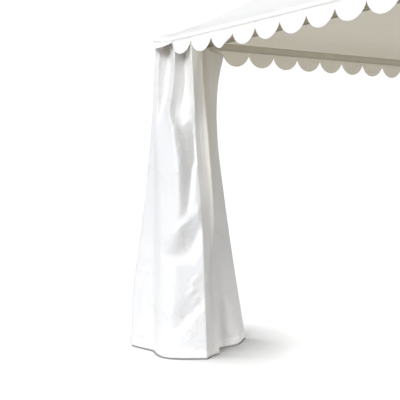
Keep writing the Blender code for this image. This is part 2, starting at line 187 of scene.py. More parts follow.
NEAR_CREASES = (
    Crease(
        ((-0.055, 1.91), (-0.09, 1.82), (-0.126, 1.72), (-0.175, 1.69)),
        (0.0, 0.024, 0.030, 0.004), 0.05, 0.07, 1,
    ),
    Crease(
        ((-0.050, 1.66), (-0.050, 1.46), (-0.072, 1.355), (-0.080, 1.23), (-0.105, 1.08)),
        (-0.008, -0.032, -0.052, -0.052, -0.005), 0.110, 0.035, 1,
    ),
    Crease(((0.000, 1.10), (-0.100, 1.02), (-0.190, 0.93)), (0.030, 0.055, 0.012), 0.05, 0.14, 1),
    Crease(
        ((-0.300, 0.742), (-0.200, 0.740), (-0.094, 0.744), (-0.050, 0.82), (-0.012, 0.96)),
        (-0.008, -0.070, -0.095, -0.075, -0.008), 0.060, 0.16, 1,
    ),
    Crease(((0.030, 0.425), (-0.110, 0.28), (-0.254, 0.126)), (-0.012, -0.034, -0.004), 0.150, 0.060, 0.8),
    Crease(((0.000, 0.610), (-0.050, 0.570), (-0.085, 0.520)), (0.006, 0.018, 0.0), 0.020, 0.030, 1),
    Crease(((0.010, 0.530), (-0.060, 0.500), (-0.120, 0.430)), (0.004, 0.018, 0.0), 0.022, 0.035, 1),
    Crease(((-0.440, 1.10), (-0.450, 0.60), (-0.470, 0.10)), (0.0, 0.014, 0.020), 0.05, 0.06, 0),
    Crease(((-0.030, 1.42), (-0.070, 1.37), (-0.110, 1.35)), (0.006, 0.016, 0.0), 0.022, 0.035, 1),
    Crease(((-0.165, 1.76), (-0.190, 1.70), (-0.185, 1.64)), (0.0, 0.014, 0.0), 0.025, 0.035, 1),
    Crease(((-0.040, 1.13), (-0.090, 1.09), (-0.140, 1.07)), (0.006, 0.014, 0.0), 0.020, 0.030, 1),
    Crease(((-0.340, 0.90), (-0.285, 0.86), (-0.235, 0.87)), (0.0, 0.014, 0.0), 0.025, 0.040, 1),
    Crease(((0.015, 0.46), (-0.040, 0.42), (-0.075, 0.38)), (0.004, 0.014, 0.0), 0.020, 0.030, 1),
)
FAR_CREASES = (
    Crease(((0.105, 2.25), (0.110, 1.90), (0.120, 1.60)), (0.014, 0.024, 0.0), 0.035, 0.030, 0.6),
    Crease(((0.16, 1.00), (0.19, 0.55), (0.22, 0.10)), (0.0, 0.010, 0.020), 0.06, 0.06, 0),
    Crease(((0.12, 1.40), (0.13, 1.00), (0.13, 0.60)), (0.0, 0.012, 0.0), 0.03, 0.05, 0),
)

# How far a valance lobe swings out, in degrees, from the left end of the front side
FRONT_SWINGS = {0: 74.0, 1: 6.0, 2: 2.0, 3: 2.0}
FOLDED_LOBE = 3
# The first lobes of the front side are pulled up a little towards the roof corner
CORNER_PULL = 0.030
PULLED_LENGTH = 0.88
# and the tip of that corner is pulled up further, with the roof's edge
TIP_LIFT = 0.026
TIP_REACH = 0.32

WHITE = (1.0, 1.0, 1.0)
CANVAS = (0.897, 0.882, 0.854)
# Painted shade: the roof's outer cloth is the canvas made a little darker, so that the brightly lit roof
# doesn't read as pure white
ROOF_CANVAS_PAINTED_SHADE = (0.865, 0.852, 0.828)
# Painted warm shade for the inside of the roof and the valances: the beige stands in for the dim light
# that comes through the white cloth
INSIDE_PAINTED_SHADE = (0.750, 0.674, 0.537)
# Painted light and shade on a curtain's inner face: warm up under the roof, neutral lower down
CURTAIN_PAINTED_SHADE_TOP = (0.880, 0.810, 0.650)
CURTAIN_PAINTED_SHADE_BOTTOM = (0.815, 0.798, 0.784)
# Painted shade on the near curtain's turned-back flap and inner face, darker towards the hem
FLAP_PAINTED_SHADE_TOP = (0.950, 0.905, 0.800)
FLAP_PAINTED_SHADE_BOTTOM = (0.660, 0.645, 0.625)
# Between these heights a curtain's inner face goes from its lower tone to its upper one, as painted light
PAINTED_LIGHT_HEIGHTS = (0.7, 2.1)
THREADS_PER_METRE = 900.0
# The cloth's relief: how strongly it shades, and how deep it is in metres
Relief = namedtuple("Relief", "strength depth")
RIPPLES = Relief(0.35, 0.004)
CRUMPLES = Relief(0.65, 0.004)
WEAVE = Relief(0.25, 0.0002)
# A crumple's width as a share of its cell, and the noise values that its patches rise between
CRUMPLE_WIDTH = 0.16
CRUMPLE_PATCHES = (0.42, 0.60)
TRANSLUCENCY = 0.7
TRANSLUCENT_TINT = (1.0, 0.93, 0.80)
TRANSLUCENT_REACH = 0.012
THREAD = (0.80, 0.80, 0.78)
# The aluminium's dark, warm grey is painted shade: it stands in for the dim, cloth-tinted light inside the
# tent
ALUMINIUM_PAINTED_SHADE = (0.56, 0.53, 0.445)
CASTING = (0.52, 0.52, 0.50)
ZINC = (0.45, 0.46, 0.47)

# Light and camera
FLOOR_TONE = 0.22
FLOOR_GLOW = 0.90
BACKDROP_GLOW = 1.05
# The floor's painted shadows: how far each reaches from the tent, and how fast it darkens
Shadow = namedtuple("Shadow", "reach power")
WIDE_SHADOW = Shadow(0.60, 2.2)
CONTACT_SHADOW = Shadow(0.016, 15.0)
SHADOW_LEAN = Vector((0.14, -0.85, 0.50))
GROUND_LIGHT = 0.53
GROUND_TINT = (1.0, 0.99, 0.965)
SKY_TINT = (0.97, 0.985, 1.01)
SKY_LOW = 0.55
SKY_HIGH = 0.62
# A light's strength, its softness, how far right of the camera it stands and how high, in degrees
Light = namedtuple("Light", "strength softness bearing elevation")
KEY = Light(3.58, 28.0, -28.0, 18.0)
FILL = Light(1.3, 60.0, 100.0, 4.0)
CAMERA_PLACE = Vector((2.9365, -5.0356, 1.4984))
CAMERA_YAW = 58.51
CAMERA_PITCH = 3.19
CAMERA_LENS = 68.2


# Nodes and materials


def new_material(name):
    material = bpy.data.materials.new(name)
    material.use_nodes = True
    return material, material.node_tree, material.node_tree.nodes["Principled BSDF"]


def set_inputs(tree, node, **inputs):
    """Sets inputs to numbers, colours or other nodes' sockets. A name has _ for its spaces."""
    for name, value in inputs.items():
        name = name.replace("_", " ")
        socket = node.inputs[int(name)] if name.strip().isdigit() else node.inputs[name]
        if isinstance(value, bpy.types.NodeSocket):
            tree.links.new(value, socket)
        else:
            socket.default_value = value


def add_node(tree, kind, settings=None, **inputs):
    made = tree.nodes.new(kind)
    for name, value in (settings or {}).items():
        setattr(made, name, value)
    set_inputs(tree, made, **inputs)
    return made


def output(tree, kind, settings=None, **inputs):
    """The first output of a node that is added."""
    return add_node(tree, kind, settings, **inputs).outputs[0]


def calculate(tree, operation, first, second=0.0, third=0.0):
    settings = {"operation": operation}
    return output(tree, "ShaderNodeMath", settings, _0=first, _1=second, _2=third)


def blend_colours(tree, share, first, second, mode="MIX"):
    settings = {"data_type": "RGBA", "blend_type": mode}
    return add_node(tree, "ShaderNodeMix", settings, _0=share, _6=first, _7=second).outputs[2]


def spread(tree, share, low, high, least=0.0, most=1.0):
    """Carries a share from least..most to low..high."""
    return output(tree, "ShaderNodeMapRange", _0=share, _1=least, _2=most, _3=low, _4=high)


def rgba(colour, factor=1.0):
    return (colour[0] * factor, colour[1] * factor, colour[2] * factor, 1.0)


def noise(tree, place, scale, detail=3.0, stretch=None):
    """Noise at this place, in lumps of about 1 / scale metres."""
    if stretch:
        place = output(tree, "ShaderNodeMapping", Vector=place, Scale=stretch)
    return output(tree, "ShaderNodeTexNoise", Vector=place, Scale=scale, Detail=detail)


def object_place(tree):
    return add_node(tree, "ShaderNodeTexCoord").outputs["Object"]


def toned(tree, colour, tone):
    """The colour, lighter or darker by this factor."""
    grey = output(tree, "ShaderNodeCombineColor", _0=tone, _1=tone, _2=tone)
    return blend_colours(tree, 1.0, colour, grey, "MULTIPLY")


def weave_height(tree):
    """Warp and weft threads in the cloth's own UV, which is in metres."""
    uv = output(tree, "ShaderNodeUVMap")
    # A wave texture goes 20 radians in one unit, and a thread is a whole turn
    turns = THREADS_PER_METRE * 2 * math.pi / 20
    waves = []
    for direction in ("X", "Y"):
        settings = {"wave_type": "BANDS", "bands_direction": direction, "wave_profile": "SIN"}
        wave = add_node(tree, "ShaderNodeTexWave", settings, Vector=uv, Scale=turns, Distortion=0.0)
        waves.append(wave.outputs["Fac"])
    return calculate(tree, "MAXIMUM", *waves)


def crumple_height(tree, place):
    """Short sharp creases in the coating, in scattered patches."""
    bent = noise(tree, place, 8.0, 2.0)
    bent = output(tree, "ShaderNodeCombineXYZ", X=bent, Y=bent, Z=bent)
    settings = {"operation": "MULTIPLY_ADD"}
    moved = output(tree, "ShaderNodeVectorMath", settings, _0=bent, _1=(0.25, 0.25, 0.25), _2=place)
    settings = {"feature": "DISTANCE_TO_EDGE"}
    away = add_node(tree, "ShaderNodeTexVoronoi", settings, Vector=moved, Scale=9.0).outputs["Distance"]
    ridges = spread(tree, away, 1.0, 0.0, 0.0, CRUMPLE_WIDTH)
    patches = spread(tree, noise(tree, place, 3.1, 1.0), 0.0, 1.0, *CRUMPLE_PATCHES)
    return calculate(tree, "MULTIPLY", ridges, patches)


def bump(tree, height, strength, distance, **below):
    """Relief of this height, over the bump below it if one is given."""
    return output(tree, "ShaderNodeBump", Strength=strength, Distance=distance, Height=height, **below)


def cloth_material(name, upper, lower=None, roughness=0.46):
    """Coated polyester: a fine weave under the coating, faint ripples and a slightly uneven tone.

    With a lower colour, the tone runs from the upper one at the eave to the lower one at the hem: painted
    light, not a change in the cloth.
    """
    material, tree, shader = new_material(name)
    place = object_place(tree)
    colour = rgba(upper)
    # Painted light: with a lower colour, the base colour changes with height
    if lower:
        height = add_node(tree, "ShaderNodeSeparateXYZ", _0=place).outputs[2]
        share = spread(tree, height, 0.0, 1.0, *PAINTED_LIGHT_HEIGHTS)
        colour = blend_colours(tree, share, rgba(lower), rgba(upper))
    relief = bump(tree, noise(tree, place, 7.0, 3.0, (1.0, 1.0, 0.45)), *RIPPLES)
    relief = bump(tree, crumple_height(tree, place), *CRUMPLES, Normal=relief)
    relief = bump(tree, weave_height(tree), *WEAVE, Normal=relief)
    set_inputs(
        tree,
        shader,
        Base_Color=toned(tree, colour, spread(tree, noise(tree, place, 1.6, 4.0), 0.95, 1.05)),
        Roughness=spread(tree, noise(tree, place, 9.0, 2.0), roughness - 0.05, roughness + 0.07),
        Specular_IOR_Level=0.35,
        Sheen_Weight=0.08,
        Subsurface_Weight=TRANSLUCENCY,
        Subsurface_Radius=TRANSLUCENT_TINT,
        Subsurface_Scale=TRANSLUCENT_REACH,
        Normal=relief,
    )
    return material


def metal_material(name, colour, roughness, grain, metallic):
    """Metal with a drawn grain, stretched as given, and duller handled patches."""
    material, tree, shader = new_material(name)
    place = object_place(tree)
    lines = noise(tree, place, 140.0, 2.0, grain)
    patches = noise(tree, place, 6.0, 4.0)
    mixed = calculate(tree, "MULTIPLY", calculate(tree, "ADD", lines, patches), 0.5)
    set_inputs(
        tree,
        shader,
        Base_Color=toned(tree, rgba(colour), spread(tree, patches, 0.89, 1.11)),
        Roughness=spread(tree, mixed, roughness - 0.08, roughness + 0.12),
        Metallic=metallic,
        Normal=bump(tree, lines, 0.3, 0.0003),
    )
    return material


def zinc_material():
    """Hot-dip galvanising: flakes of slightly different greys."""
    material, tree, shader = new_material("galvanised_steel")
    place = object_place(tree)
    flakes = add_node(tree, "ShaderNodeTexVoronoi", Vector=place, Scale=120.0).outputs["Color"]
    flake = output(tree, "ShaderNodeSeparateColor", _0=flakes)
    set_inputs(
        tree,
        shader,
        Base_Color=blend_colours(tree, flake, rgba(ZINC, 0.82), rgba(ZINC, 1.15)),
        Roughness=spread(tree, flake, 0.42, 0.60),
        Metallic=0.8,
        Normal=bump(tree, noise(tree, place, 60.0), 0.2, 0.0003),
    )
    return material


def thread_material():
    material, tree, shader = new_material("sewing_thread")
    strands = noise(tree, object_place(tree), 900.0, 2.0)
    set_inputs(
        tree,
        shader,
        Base_Color=blend_colours(tree, strands, rgba(THREAD, 0.85), rgba(THREAD, 1.05)),
        Roughness=0.6,
        Sheen_Weight=0.2,
        Normal=bump(tree, strands, 0.4, 0.0002),
    )
    return material


# Meshes and pieces


def linked(name, data):
    """A new object in the scene."""
    obj = bpy.data.objects.new(name, data)
    bpy.context.scene.collection.objects.link(obj)
    return obj


def add_piece(mesh, name, replaces=()):
    """A finished piece at the origin, riding on the tent's one body."""
    piece = linked(name, mesh)
    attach(piece, "root")
    if replaces:
        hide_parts(*replaces)
    return piece


def mesh_of(bm, name, *materials):
    """The mesh that this bmesh becomes; the bmesh goes."""
    mesh = bpy.data.meshes.new(name)
    bm.to_mesh(mesh)
    bm.free()
    for material in materials:
        mesh.materials.append(material)
    return mesh


def settled(obj):
    """The object's mesh with its modifiers worked in; the object goes."""
    graph = bpy.context.evaluated_depsgraph_get()
    mesh = bpy.data.meshes.new_from_object(obj.evaluated_get(graph))
    mesh.name = obj.name
    bpy.data.objects.remove(obj, do_unlink=True)
    return mesh


def turned(mesh, turn):
    """A copy of the mesh, turned by quarter turns round the middle of the tent."""
    copy = mesh.copy()
    copy.transform(Matrix.Rotation(turn * math.pi / 2, 4, "Z"))
    return copy


def joined(name, meshes):
    """One mesh of several that have the same materials."""
    bm = bmesh.new()
    for mesh in meshes:
        bm.from_mesh(mesh)
    return mesh_of(bm, name, *meshes[0].materials)


def smoothed(mesh, sharp_from):
    """Smooths a mesh, but for the edges that turn by more degrees than this."""
    mesh.shade_smooth()
    mesh.set_sharp_from_angle(angle=math.radians(sharp_from))
    return mesh


def turn_points(points, turn):
    """The same quarter turns for an array of points."""
    x, y, z = points[..., 0], points[..., 1], points[..., 2]
    for _ in range(turn % 4):
        x, y = -y, x
    return np.stack([x, y, z], axis=-1)


def grid_mesh(name, points, cloth, ring=False):
    """An open surface through rows of points, with each point's place in the cloth as its UV.

    In a ring the last column joins the first, and cloth has one column more than points.
    """
    rows, columns = points.shape[:2]
    spans = columns if ring else columns - 1
    faces = []
    places = []
    for j in range(rows - 1):
        for i in range(spans):
            k = (i + 1) % columns
            faces.append((j * columns + i, (j + 1) * columns + i, (j + 1) * columns + k, j * columns + k))
            places += [cloth[j, i], cloth[j + 1, i], cloth[j + 1, i + 1], cloth[j, i + 1]]
    mesh = bpy.data.meshes.new(name)
    mesh.from_pydata(points.reshape(-1, 3).tolist(), [], faces)
    layer = mesh.uv_layers.new(name="cloth")
    layer.uv.foreach_set("vector", np.array(places, dtype=np.float32).ravel())
    mesh.shade_smooth()
    return mesh


def grid_normals(points):
    """The normal of a grid of points at each of them."""
    down = np.gradient(points, axis=0)
    along = np.gradient(points, axis=1)
    normals = np.cross(down, along)
    return normals / np.maximum(np.linalg.norm(normals, axis=-1, keepdims=True), 1e-9)


def cloth_mesh(name, mesh, hem_weights, materials):
    """Gives an open cloth surface its thickness, doubled where the hems are."""
    for material in materials:
        mesh.materials.append(material)
    obj = linked(name, mesh)
    group = obj.vertex_groups.new(name="hem")
    for index in np.flatnonzero(hem_weights > 0):
        group.add([int(index)], float(hem_weights[index]), "REPLACE")
    wall = obj.modifiers.new("thickness", "SOLIDIFY")
    wall.thickness = HEM_THICK
    wall.offset = 0.0
    wall.vertex_group = "hem"
    wall.thickness_vertex_group = CLOTH_THICK / HEM_THICK
    wall.material_offset = 1
    wall.material_offset_rim = 0
    return settled(obj)


# Geometry Nodes


def new_tree(name, inputs):
    """An empty tree with named inputs, as (name, kind of socket, value)."""
    tree = bpy.data.node_groups.new(name, "GeometryNodeTree")
    tree.interface.new_socket("Geometry", in_out="INPUT", socket_type="NodeSocketGeometry")
    for label, kind, value in inputs:
        socket = tree.interface.new_socket(label, in_out="INPUT", socket_type="NodeSocket" + kind)
        if value is not None:
            socket.default_value = value
    tree.interface.new_socket("Geometry", in_out="OUTPUT", socket_type="NodeSocketGeometry")
    return tree, tree.nodes.new("NodeGroupInput").outputs


def finish_tree(tree, geometry, material):
    """Ends a tree in Realize Instances and Set Material."""
    real = output(tree, "GeometryNodeRealizeInstances", Geometry=geometry)
    made = output(tree, "GeometryNodeSetMaterial", Geometry=real, Material=material)
    add_node(tree, "NodeGroupOutput", Geometry=made)
    return tree


def random_between(tree, low, high, seed):
    """A number for each instance."""
    settings = {"data_type": "FLOAT"}
    return add_node(tree, "FunctionNodeRandomValue", settings, _2=low, _3=high, _8=seed).outputs[1]


def turned_towards(tree, axis, direction):
    """The turn that brings this axis of an instance to the direction."""
    return output(tree, "FunctionNodeAlignRotationToVector", {"axis": axis}, Vector=direction)


def on_points(tree, points, shape, turn, **scale):
    """The shape at every point."""
    given = {"Points": points, "Instance": shape, "Rotation": turn, **scale}
    return output(tree, "GeometryNodeInstanceOnPoints", **given)


def running_stitch_tree():
    """Stitches along lines: short rounded threads, each as long as the last within a few percent."""
    inputs = (
        ("Stitch Pitch", "Float", STITCH_PITCH),
        ("Stitch Length", "Float", STITCH_LENGTH),
        ("Thread Radius", "Float", THREAD_RADIUS),
        ("Seed", "Int", 3),
        ("Thread", "Material", None),
    )
    tree, given = new_tree("running_stitch", inputs)
    line = output(tree, "GeometryNodeMeshToCurve", Mesh=given["Geometry"])
    pitch = given["Stitch Pitch"]
    spots = output(tree, "GeometryNodeResampleCurve", {"mode": "LENGTH"}, Curve=line, Length=pitch)
    facing = turned_towards(tree, "X", output(tree, "GeometryNodeInputTangent"))
    uneven = random_between(tree, 0.42, 0.5, given["Seed"])
    half = calculate(tree, "MULTIPLY", given["Stitch Length"], uneven)
    radius = given["Thread Radius"]
    size = output(tree, "ShaderNodeCombineXYZ", X=half, Y=radius, Z=radius)
    bead = output(tree, "GeometryNodeMeshIcoSphere", Radius=1.0, Subdivisions=1)
    bead = output(tree, "GeometryNodeSetShadeSmooth", Geometry=bead)
    return finish_tree(tree, on_points(tree, spots, bead, facing, Scale=size), given["Thread"])


def bolt_tree():
    """A hexagon head on a washer at each point, out along the point's facing."""
    inputs = (
        ("Head Width", "Float", 0.013),
        ("Head Height", "Float", 0.0055),
        ("Washer Width", "Float", 0.019),
        ("Washer Height", "Float", 0.0012),
        ("Seed", "Int", 5),
        ("Metal", "Material", None),
    )
    tree, given = new_tree("hexagon_bolt", inputs)
    shapes = []
    lift = None
    for part, sides in (("Washer", 20), ("Head", 6)):
        height = given[part + " Height"]
        radius = calculate(tree, "MULTIPLY", given[part + " Width"], 0.5)
        middle = calculate(tree, "MULTIPLY", height, 0.5)
        if lift:
            middle = calculate(tree, "ADD", middle, lift)
        lift = height
        disc = output(tree, "GeometryNodeMeshCylinder", Vertices=sides, Radius=radius, Depth=height)
        up = output(tree, "ShaderNodeCombineXYZ", Z=middle)
        shapes.append(output(tree, "GeometryNodeTransform", Geometry=disc, Translation=up))
    bolt = add_node(tree, "GeometryNodeJoinGeometry")
    for shape in shapes:
        tree.links.new(shape, bolt.inputs[0])
    settings = {"data_type": "FLOAT_VECTOR"}
    facing = output(tree, "GeometryNodeInputNamedAttribute", settings, Name="facing")
    facing = turned_towards(tree, "Z", facing)
    spin = output(tree, "ShaderNodeCombineXYZ", Z=random_between(tree, 0.0, 1.05, given["Seed"]))
    spin = output(tree, "FunctionNodeEulerToRotation", Euler=spin)
    settings = {"rotation_space": "LOCAL"}
    facing = output(tree, "FunctionNodeRotateRotation", settings, Rotation=facing, Rotate_By=spin)
    bolts = on_points(tree, given["Geometry"], bolt.outputs[0], facing)
    return finish_tree(tree, bolts, given["Metal"])


def swept(tree, line, section):
    """A closed bar of this section along the line."""
    inputs = {"Curve": line, "Profile Curve": section, "Fill Caps": True}
    return output(tree, "GeometryNodeCurveToMesh", **inputs)


def round_bar_tree():
    """A round bar or bead along lines."""
    inputs = (("Bar Radius", "Float", 0.01), ("Bar Sides", "Int", 24), ("Metal", "Material", None))
    tree, given = new_tree("round_bar", inputs)
    line = output(tree, "GeometryNodeMeshToCurve", Mesh=given["Geometry"])
    circle = {"Resolution": given["Bar Sides"], "Radius": given["Bar Radius"]}
    section = output(tree, "GeometryNodeCurvePrimitiveCircle", **circle)
    smooth = output(tree, "GeometryNodeSetShadeSmooth", Geometry=swept(tree, line, section))
    return finish_tree(tree, smooth, given["Metal"])


def extrusion_tree():
    """A drawn profile: the closed outline that comes in, swept along +X for this length."""
    inputs = (("Bar Length", "Float", 1.0), ("Metal", "Material", None))
    tree, given = new_tree("drawn_profile", inputs)
    outline = output(tree, "GeometryNodeMeshToCurve", Mesh=given["Geometry"])
    half = calculate(tree, "MULTIPLY", given["Bar Length"], 0.5)
    start = output(tree, "ShaderNodeCombineXYZ", X=calculate(tree, "MULTIPLY", half, -1.0))
    end = output(tree, "ShaderNodeCombineXYZ", X=half)
    line = output(tree, "GeometryNodeCurvePrimitiveLine", Start=start, End=end)
    upright = output(tree, "GeometryNodeSetCurveNormal", {"mode": "Z_UP"}, Curve=line)
    return finish_tree(tree, swept(tree, upright, outline), given["Metal"])


def grown(name, base, tree, **values):
    """The mesh that a tree makes from this one. An input's name has _ for its spaces."""
    obj = linked(name, base)
    modifier = obj.modifiers.new(tree.name, "NODES")
    modifier.node_group = tree
    for item in tree.interface.items_tree:
        key = item.name.replace(" ", "_")
        if item.in_out == "INPUT" and key in values:
            modifier[item.identifier] = values[key]
    return settled(obj)


def lines_mesh(name, lines, closed=False):
    """Lines of points as edges."""
    verts = []
    edges = []
    for line in lines:
        first = len(verts)
        verts += [tuple(point) for point in line]
        edges += [(k, k + 1) for k in range(first, len(verts) - 1)]
        if closed:
            edges.append((len(verts) - 1, first))
    mesh = bpy.data.meshes.new(name)
    mesh.from_pydata(verts, edges, [])
    return mesh


def grown_on_lines(name, lines, tree, closed=False, **values):
    """What a tree makes along these lines."""
    return grown(name, lines_mesh(name, lines, closed), tree, **values)


def add_stitching(name, lines, stitch, thread, closed=False, pitch=STITCH_PITCH):
    """A piece of stitches along these lines."""
    mesh = grown_on_lines(name, lines, stitch, closed, Stitch_Pitch=pitch, Thread=thread)
    add_piece(mesh, name)


# The roof's form


def smoothstep(share):
    share = np.clip(share, 0.0, 1.0)
    return share * share * (3 - 2 * share)


def hip_height(run):
    """Height of the cloth along a hip, at this plan distance from the roof corner."""
    return ROOF_CORNER_Z + HIP_SLOPE * run + HIP_CURVE * run * run


def hip_run(half):
    """Plan distance from the roof corner to where a hip is this far out on both axes."""
    return (ROOF_HALF - half) * math.sqrt(2)


def roof_points(half, across):
    """Points of the front roof panel; across runs from -1 at the left hip to 1 at the right one."""
    bow = EDGE_BOW * half / ROOF_HALF * (1 - across * across)
    return np.stack(np.broadcast_arrays(half * across, bow - half, hip_height(hip_run(half))), axis=-1)


def edge_offset(x):
    """How far out the roof edge of the front side lies at this x."""
    return ROOF_HALF - EDGE_BOW * (1 - (x / ROOF_HALF) ** 2)


# The roof's edge is turned down: how far out that lap stands and how far it hangs, row by row
LAP_OUT = (0.0018, 0.0026, 0.0030, 0.0030, 0.0030)
LAP_DROP = (0.0010, 0.0030, 0.0070, 0.0150, 0.0260)
# The columns nearest to a hip and the rows nearest to the roof's edge, by their distance from it
HIP_COLUMNS = (0.0, 0.010, 0.022, 0.025, 0.045)
EDGE_ROWS = (0.040, 0.024, 0.010, 0.003, 0.0)
LAST_EVEN_ROW = 0.042
EDGE_HEM = 0.025
# Nearer to the peak than this, the columns by a hip draw together
CROWDED_HALF = 0.25
HIP_SEAM_WIDTH = 0.0235
SEAM_HEIGHT = 0.0010
PULL_HEIGHT = 0.0045
SLACK_HEIGHT = 0.004
# Each set of old fold lines in the cloth: their spacing, offset and height
FOLD_MARKS = ((0.62, 0.20, 0.0022), (0.62, 0.55, 0.0016))


def canopy_grid():
    """The whole roof as one ring of points, from the crown down to the turned-down edge.

    A row is (how far out its hips are, how far the lap stands out, how far it hangs down).
    """
    seam = np.array(HIP_COLUMNS)
    share = np.linspace(0.0, 1.0, ROOF_ROWS - len(EDGE_ROWS) - 1)
    inner = CROWN_HALF * 0.9
    halves = inner + (ROOF_HALF - LAST_EVEN_ROW - inner) * share**1.1
    halves = np.concatenate([halves, ROOF_HALF - np.array(EDGE_ROWS)])
    rows = [(half, 0.0, 0.0) for half in halves]
    rows += [(ROOF_HALF, out, drop) for out, drop in zip(LAP_OUT, LAP_DROP)]
    points = []
    for half, out, drop in rows:
        reach = seam * min(1.0, half / CROWDED_HALF)
        left = -1 + reach / half
        middle = np.linspace(left[-1], -left[-1], ROOF_COLUMNS - 2 * len(seam) + 2)[1:-1]
        across = np.concatenate([left, middle, -left[::-1]])[:-1]
        side = roof_points(half + out, across)
        if out:
            side[:, 2] = ROOF_CORNER_Z - drop
        points.append(np.concatenate([turn_points(side, turn) for turn in range(4)]))
    return np.array(points), np.array(rows)


def canopy_relief(points):
    """How far the cloth stands out: seams along the hips, pulls from the corners, old fold lines."""
    x, y = np.abs(points[..., 0]), np.abs(points[..., 1])
    half = np.maximum(x, y)
    from_hip = half - np.minimum(x, y)
    relief = SEAM_HEIGHT * (from_hip < HIP_SEAM_WIDTH)
    run = np.hypot(ROOF_HALF - x, ROOF_HALF - y)
    bearing = np.arctan2(ROOF_HALF - y, ROOF_HALF - x)
    fade = smoothstep(run / 0.12) * (1 - smoothstep((run - 0.25) / 0.75))
    relief = relief + PULL_HEIGHT * fade * np.sin(bearing * 17.0 + 2.2 * np.sin(run * 4.0))
    for spacing, offset, depth in FOLD_MARKS:
        away = np.abs((half - offset) % spacing - spacing / 2)
        relief = relief + depth * np.exp(-((away / 0.014) ** 2))
        away = np.abs((from_hip + offset) % (spacing * 1.3) - spacing * 0.65)
        relief = relief + depth * 0.6 * np.exp(-((away / 0.016) ** 2)) * smoothstep(from_hip / 0.3)
    slow = np.sin(x * 5.1 + 1.3 * np.sin(y * 3.7)) * np.sin(y * 4.3 + 0.9 * np.sin(x * 2.9))
    return relief + SLACK_HEIGHT * slow * smoothstep((ROOF_HALF - half) / 0.25)


def tip_lift(x, y):
    """How far the roof's edge is pulled up close to the front left corner."""
    away = np.hypot(x + ROOF_HALF, y + ROOF_HALF)
    return TIP_LIFT * np.clip(1 - away / TIP_REACH, 0.0, 1.0) ** 2


def path_lengths(points, axis):
    """Distance along a grid's rows or columns, from its first point."""
    steps = np.linalg.norm(np.diff(points, axis=axis), axis=-1)
    start = np.zeros_like(np.take(steps, [0], axis=axis))
    return np.concatenate([start, np.cumsum(steps, axis=axis)], axis=axis)


def make_canopy(materials):
    """The canopy, and the lines where it is stitched."""
    points, rows = canopy_grid()
    relief = canopy_relief(points)
    on_roof = (rows[:, 1] == 0)[:, None] * smoothstep((ROOF_HALF - rows[:, 0]) / 0.03)[:, None]
    points[..., 2] += relief * on_roof - CLOTH_THICK / 2 + tip_lift(points[..., 0], points[..., 1])
    closed = np.concatenate([points, points[:, :1]], axis=1)
    cloth = np.stack([path_lengths(closed, 1), path_lengths(closed, 0)], axis=-1)
    surface = grid_mesh("canopy", points, cloth, ring=True)
    hem = np.repeat((rows[:, 0] > ROOF_HALF - EDGE_HEM).astype(float), points.shape[1])
    mesh = cloth_mesh("canopy", surface, hem, materials)
    canopy = add_piece(mesh, "canopy", ["roof_panel_" + side for side in SIDES])
    proud = closed.copy()
    proud[..., 2] += CLOTH_THICK / 2 + THREAD_RADIUS * 0.4
    per_side = points.shape[1] // 4
    on_roof_rows = np.flatnonzero(rows[:, 1] == 0)[2:-2]
    lines = [proud[on_roof_rows[-1]]]
    for turn in range(4):
        for column in (1, per_side - 1):
            lines.append(proud[on_roof_rows, turn * per_side + column])
    lap = closed[-2].copy()
    lap[:, :2] *= 1 + (HEM_THICK / 2 + THREAD_RADIUS * 0.4) / ROOF_HALF
    lines.append(lap)
    return lines


# Valances


def lobe_drop(distance):
    """How far the scalloped edge hangs below the slits, this far along the side.

    What is left after the last whole lobe is a smaller one of the same form.
    """
    whole = math.floor(VALANCE_LENGTH / LOBE_PITCH) * LOBE_PITCH
    size = np.where(distance < whole, 1.0, (VALANCE_LENGTH - whole) / LOBE_PITCH)
    half = LOBE_PITCH / 2
    radius = (half * half + LOBE_DEPTH * LOBE_DEPTH) / (2 * LOBE_DEPTH)
    start = np.where(distance < whole, np.floor(distance / LOBE_PITCH) * LOBE_PITCH, whole)
    from_middle = np.clip((distance - start) / size, 0.0, LOBE_PITCH) - half
    arc = np.sqrt(radius * radius - from_middle * from_middle)
    return size * np.maximum(0.0, arc - (radius - LOBE_DEPTH))


# Sizes of the valances' own details
SLIT_HALF = 0.0008
GAPE_FROM = 0.010
GAPE_TO = 0.098
GAPE_HALF = 0.0045
GAPE_HEIGHT = SLIT_TOP + 0.010
FOLD_FOOT = 0.46
FOLD_RISE = 0.020
# The valance's cloth starts this far under the roof's solid and stands this far inside its edge
VALANCE_GAP = 0.0003
VALANCE_INSET = 0.0010
# The curl and the twist of a lobe, in degrees
CURLS = (-1.0, 5.0)
TWISTS = (-3.0, 3.0)


def add_lobe(bm, layer, lobe, top, gapes):
    """One lobe with the band over it, flat: x along the side, y out from it, z up."""
    first = lobe * LOBE_PITCH + SLIT_HALF
    last = min((lobe + 1) * LOBE_PITCH - SLIT_HALF, VALANCE_LENGTH)
    along = first + (last - first) * (1 - np.cos(np.pi * np.linspace(0.0, 1.0, LOBE_COLUMNS + 1))) / 2
    band = np.repeat(np.linspace(top, SLIT_TOP, BAND_ROWS)[:-1, None], len(along), axis=1)
    share = np.append(np.linspace(0.0, 0.90, LOBE_ROWS - 1), 1.0)[:, None]
    rows = [row for row in band] + [row for row in SLIT_TOP - lobe_drop(along)[None, :] * share]
    skipped = -1
    if gapes:
        open_half = GAPE_HALF * np.sin(np.pi * np.clip((along - GAPE_FROM) / (GAPE_TO - GAPE_FROM), 0, 1))
        skipped = BAND_ROWS - 2
        rows[skipped] = GAPE_HEIGHT + open_half
        rows.insert(skipped + 1, GAPE_HEIGHT - open_half)
    made = [[bm.verts.new((x, 0.0, z)) for x, z in zip(along, row)] for row in rows]
    faces = []
    for j in range(len(made) - 1):
        if j == skipped:
            continue
        for i in range(len(along) - 1):
            faces.append(bm.faces.new((made[j][i], made[j + 1][i], made[j + 1][i + 1], made[j][i + 1])))
    for face in faces:
        for loop in face.loops:
            loop[layer].uv = (loop.vert.co.x, loop.vert.co.z)
    return faces


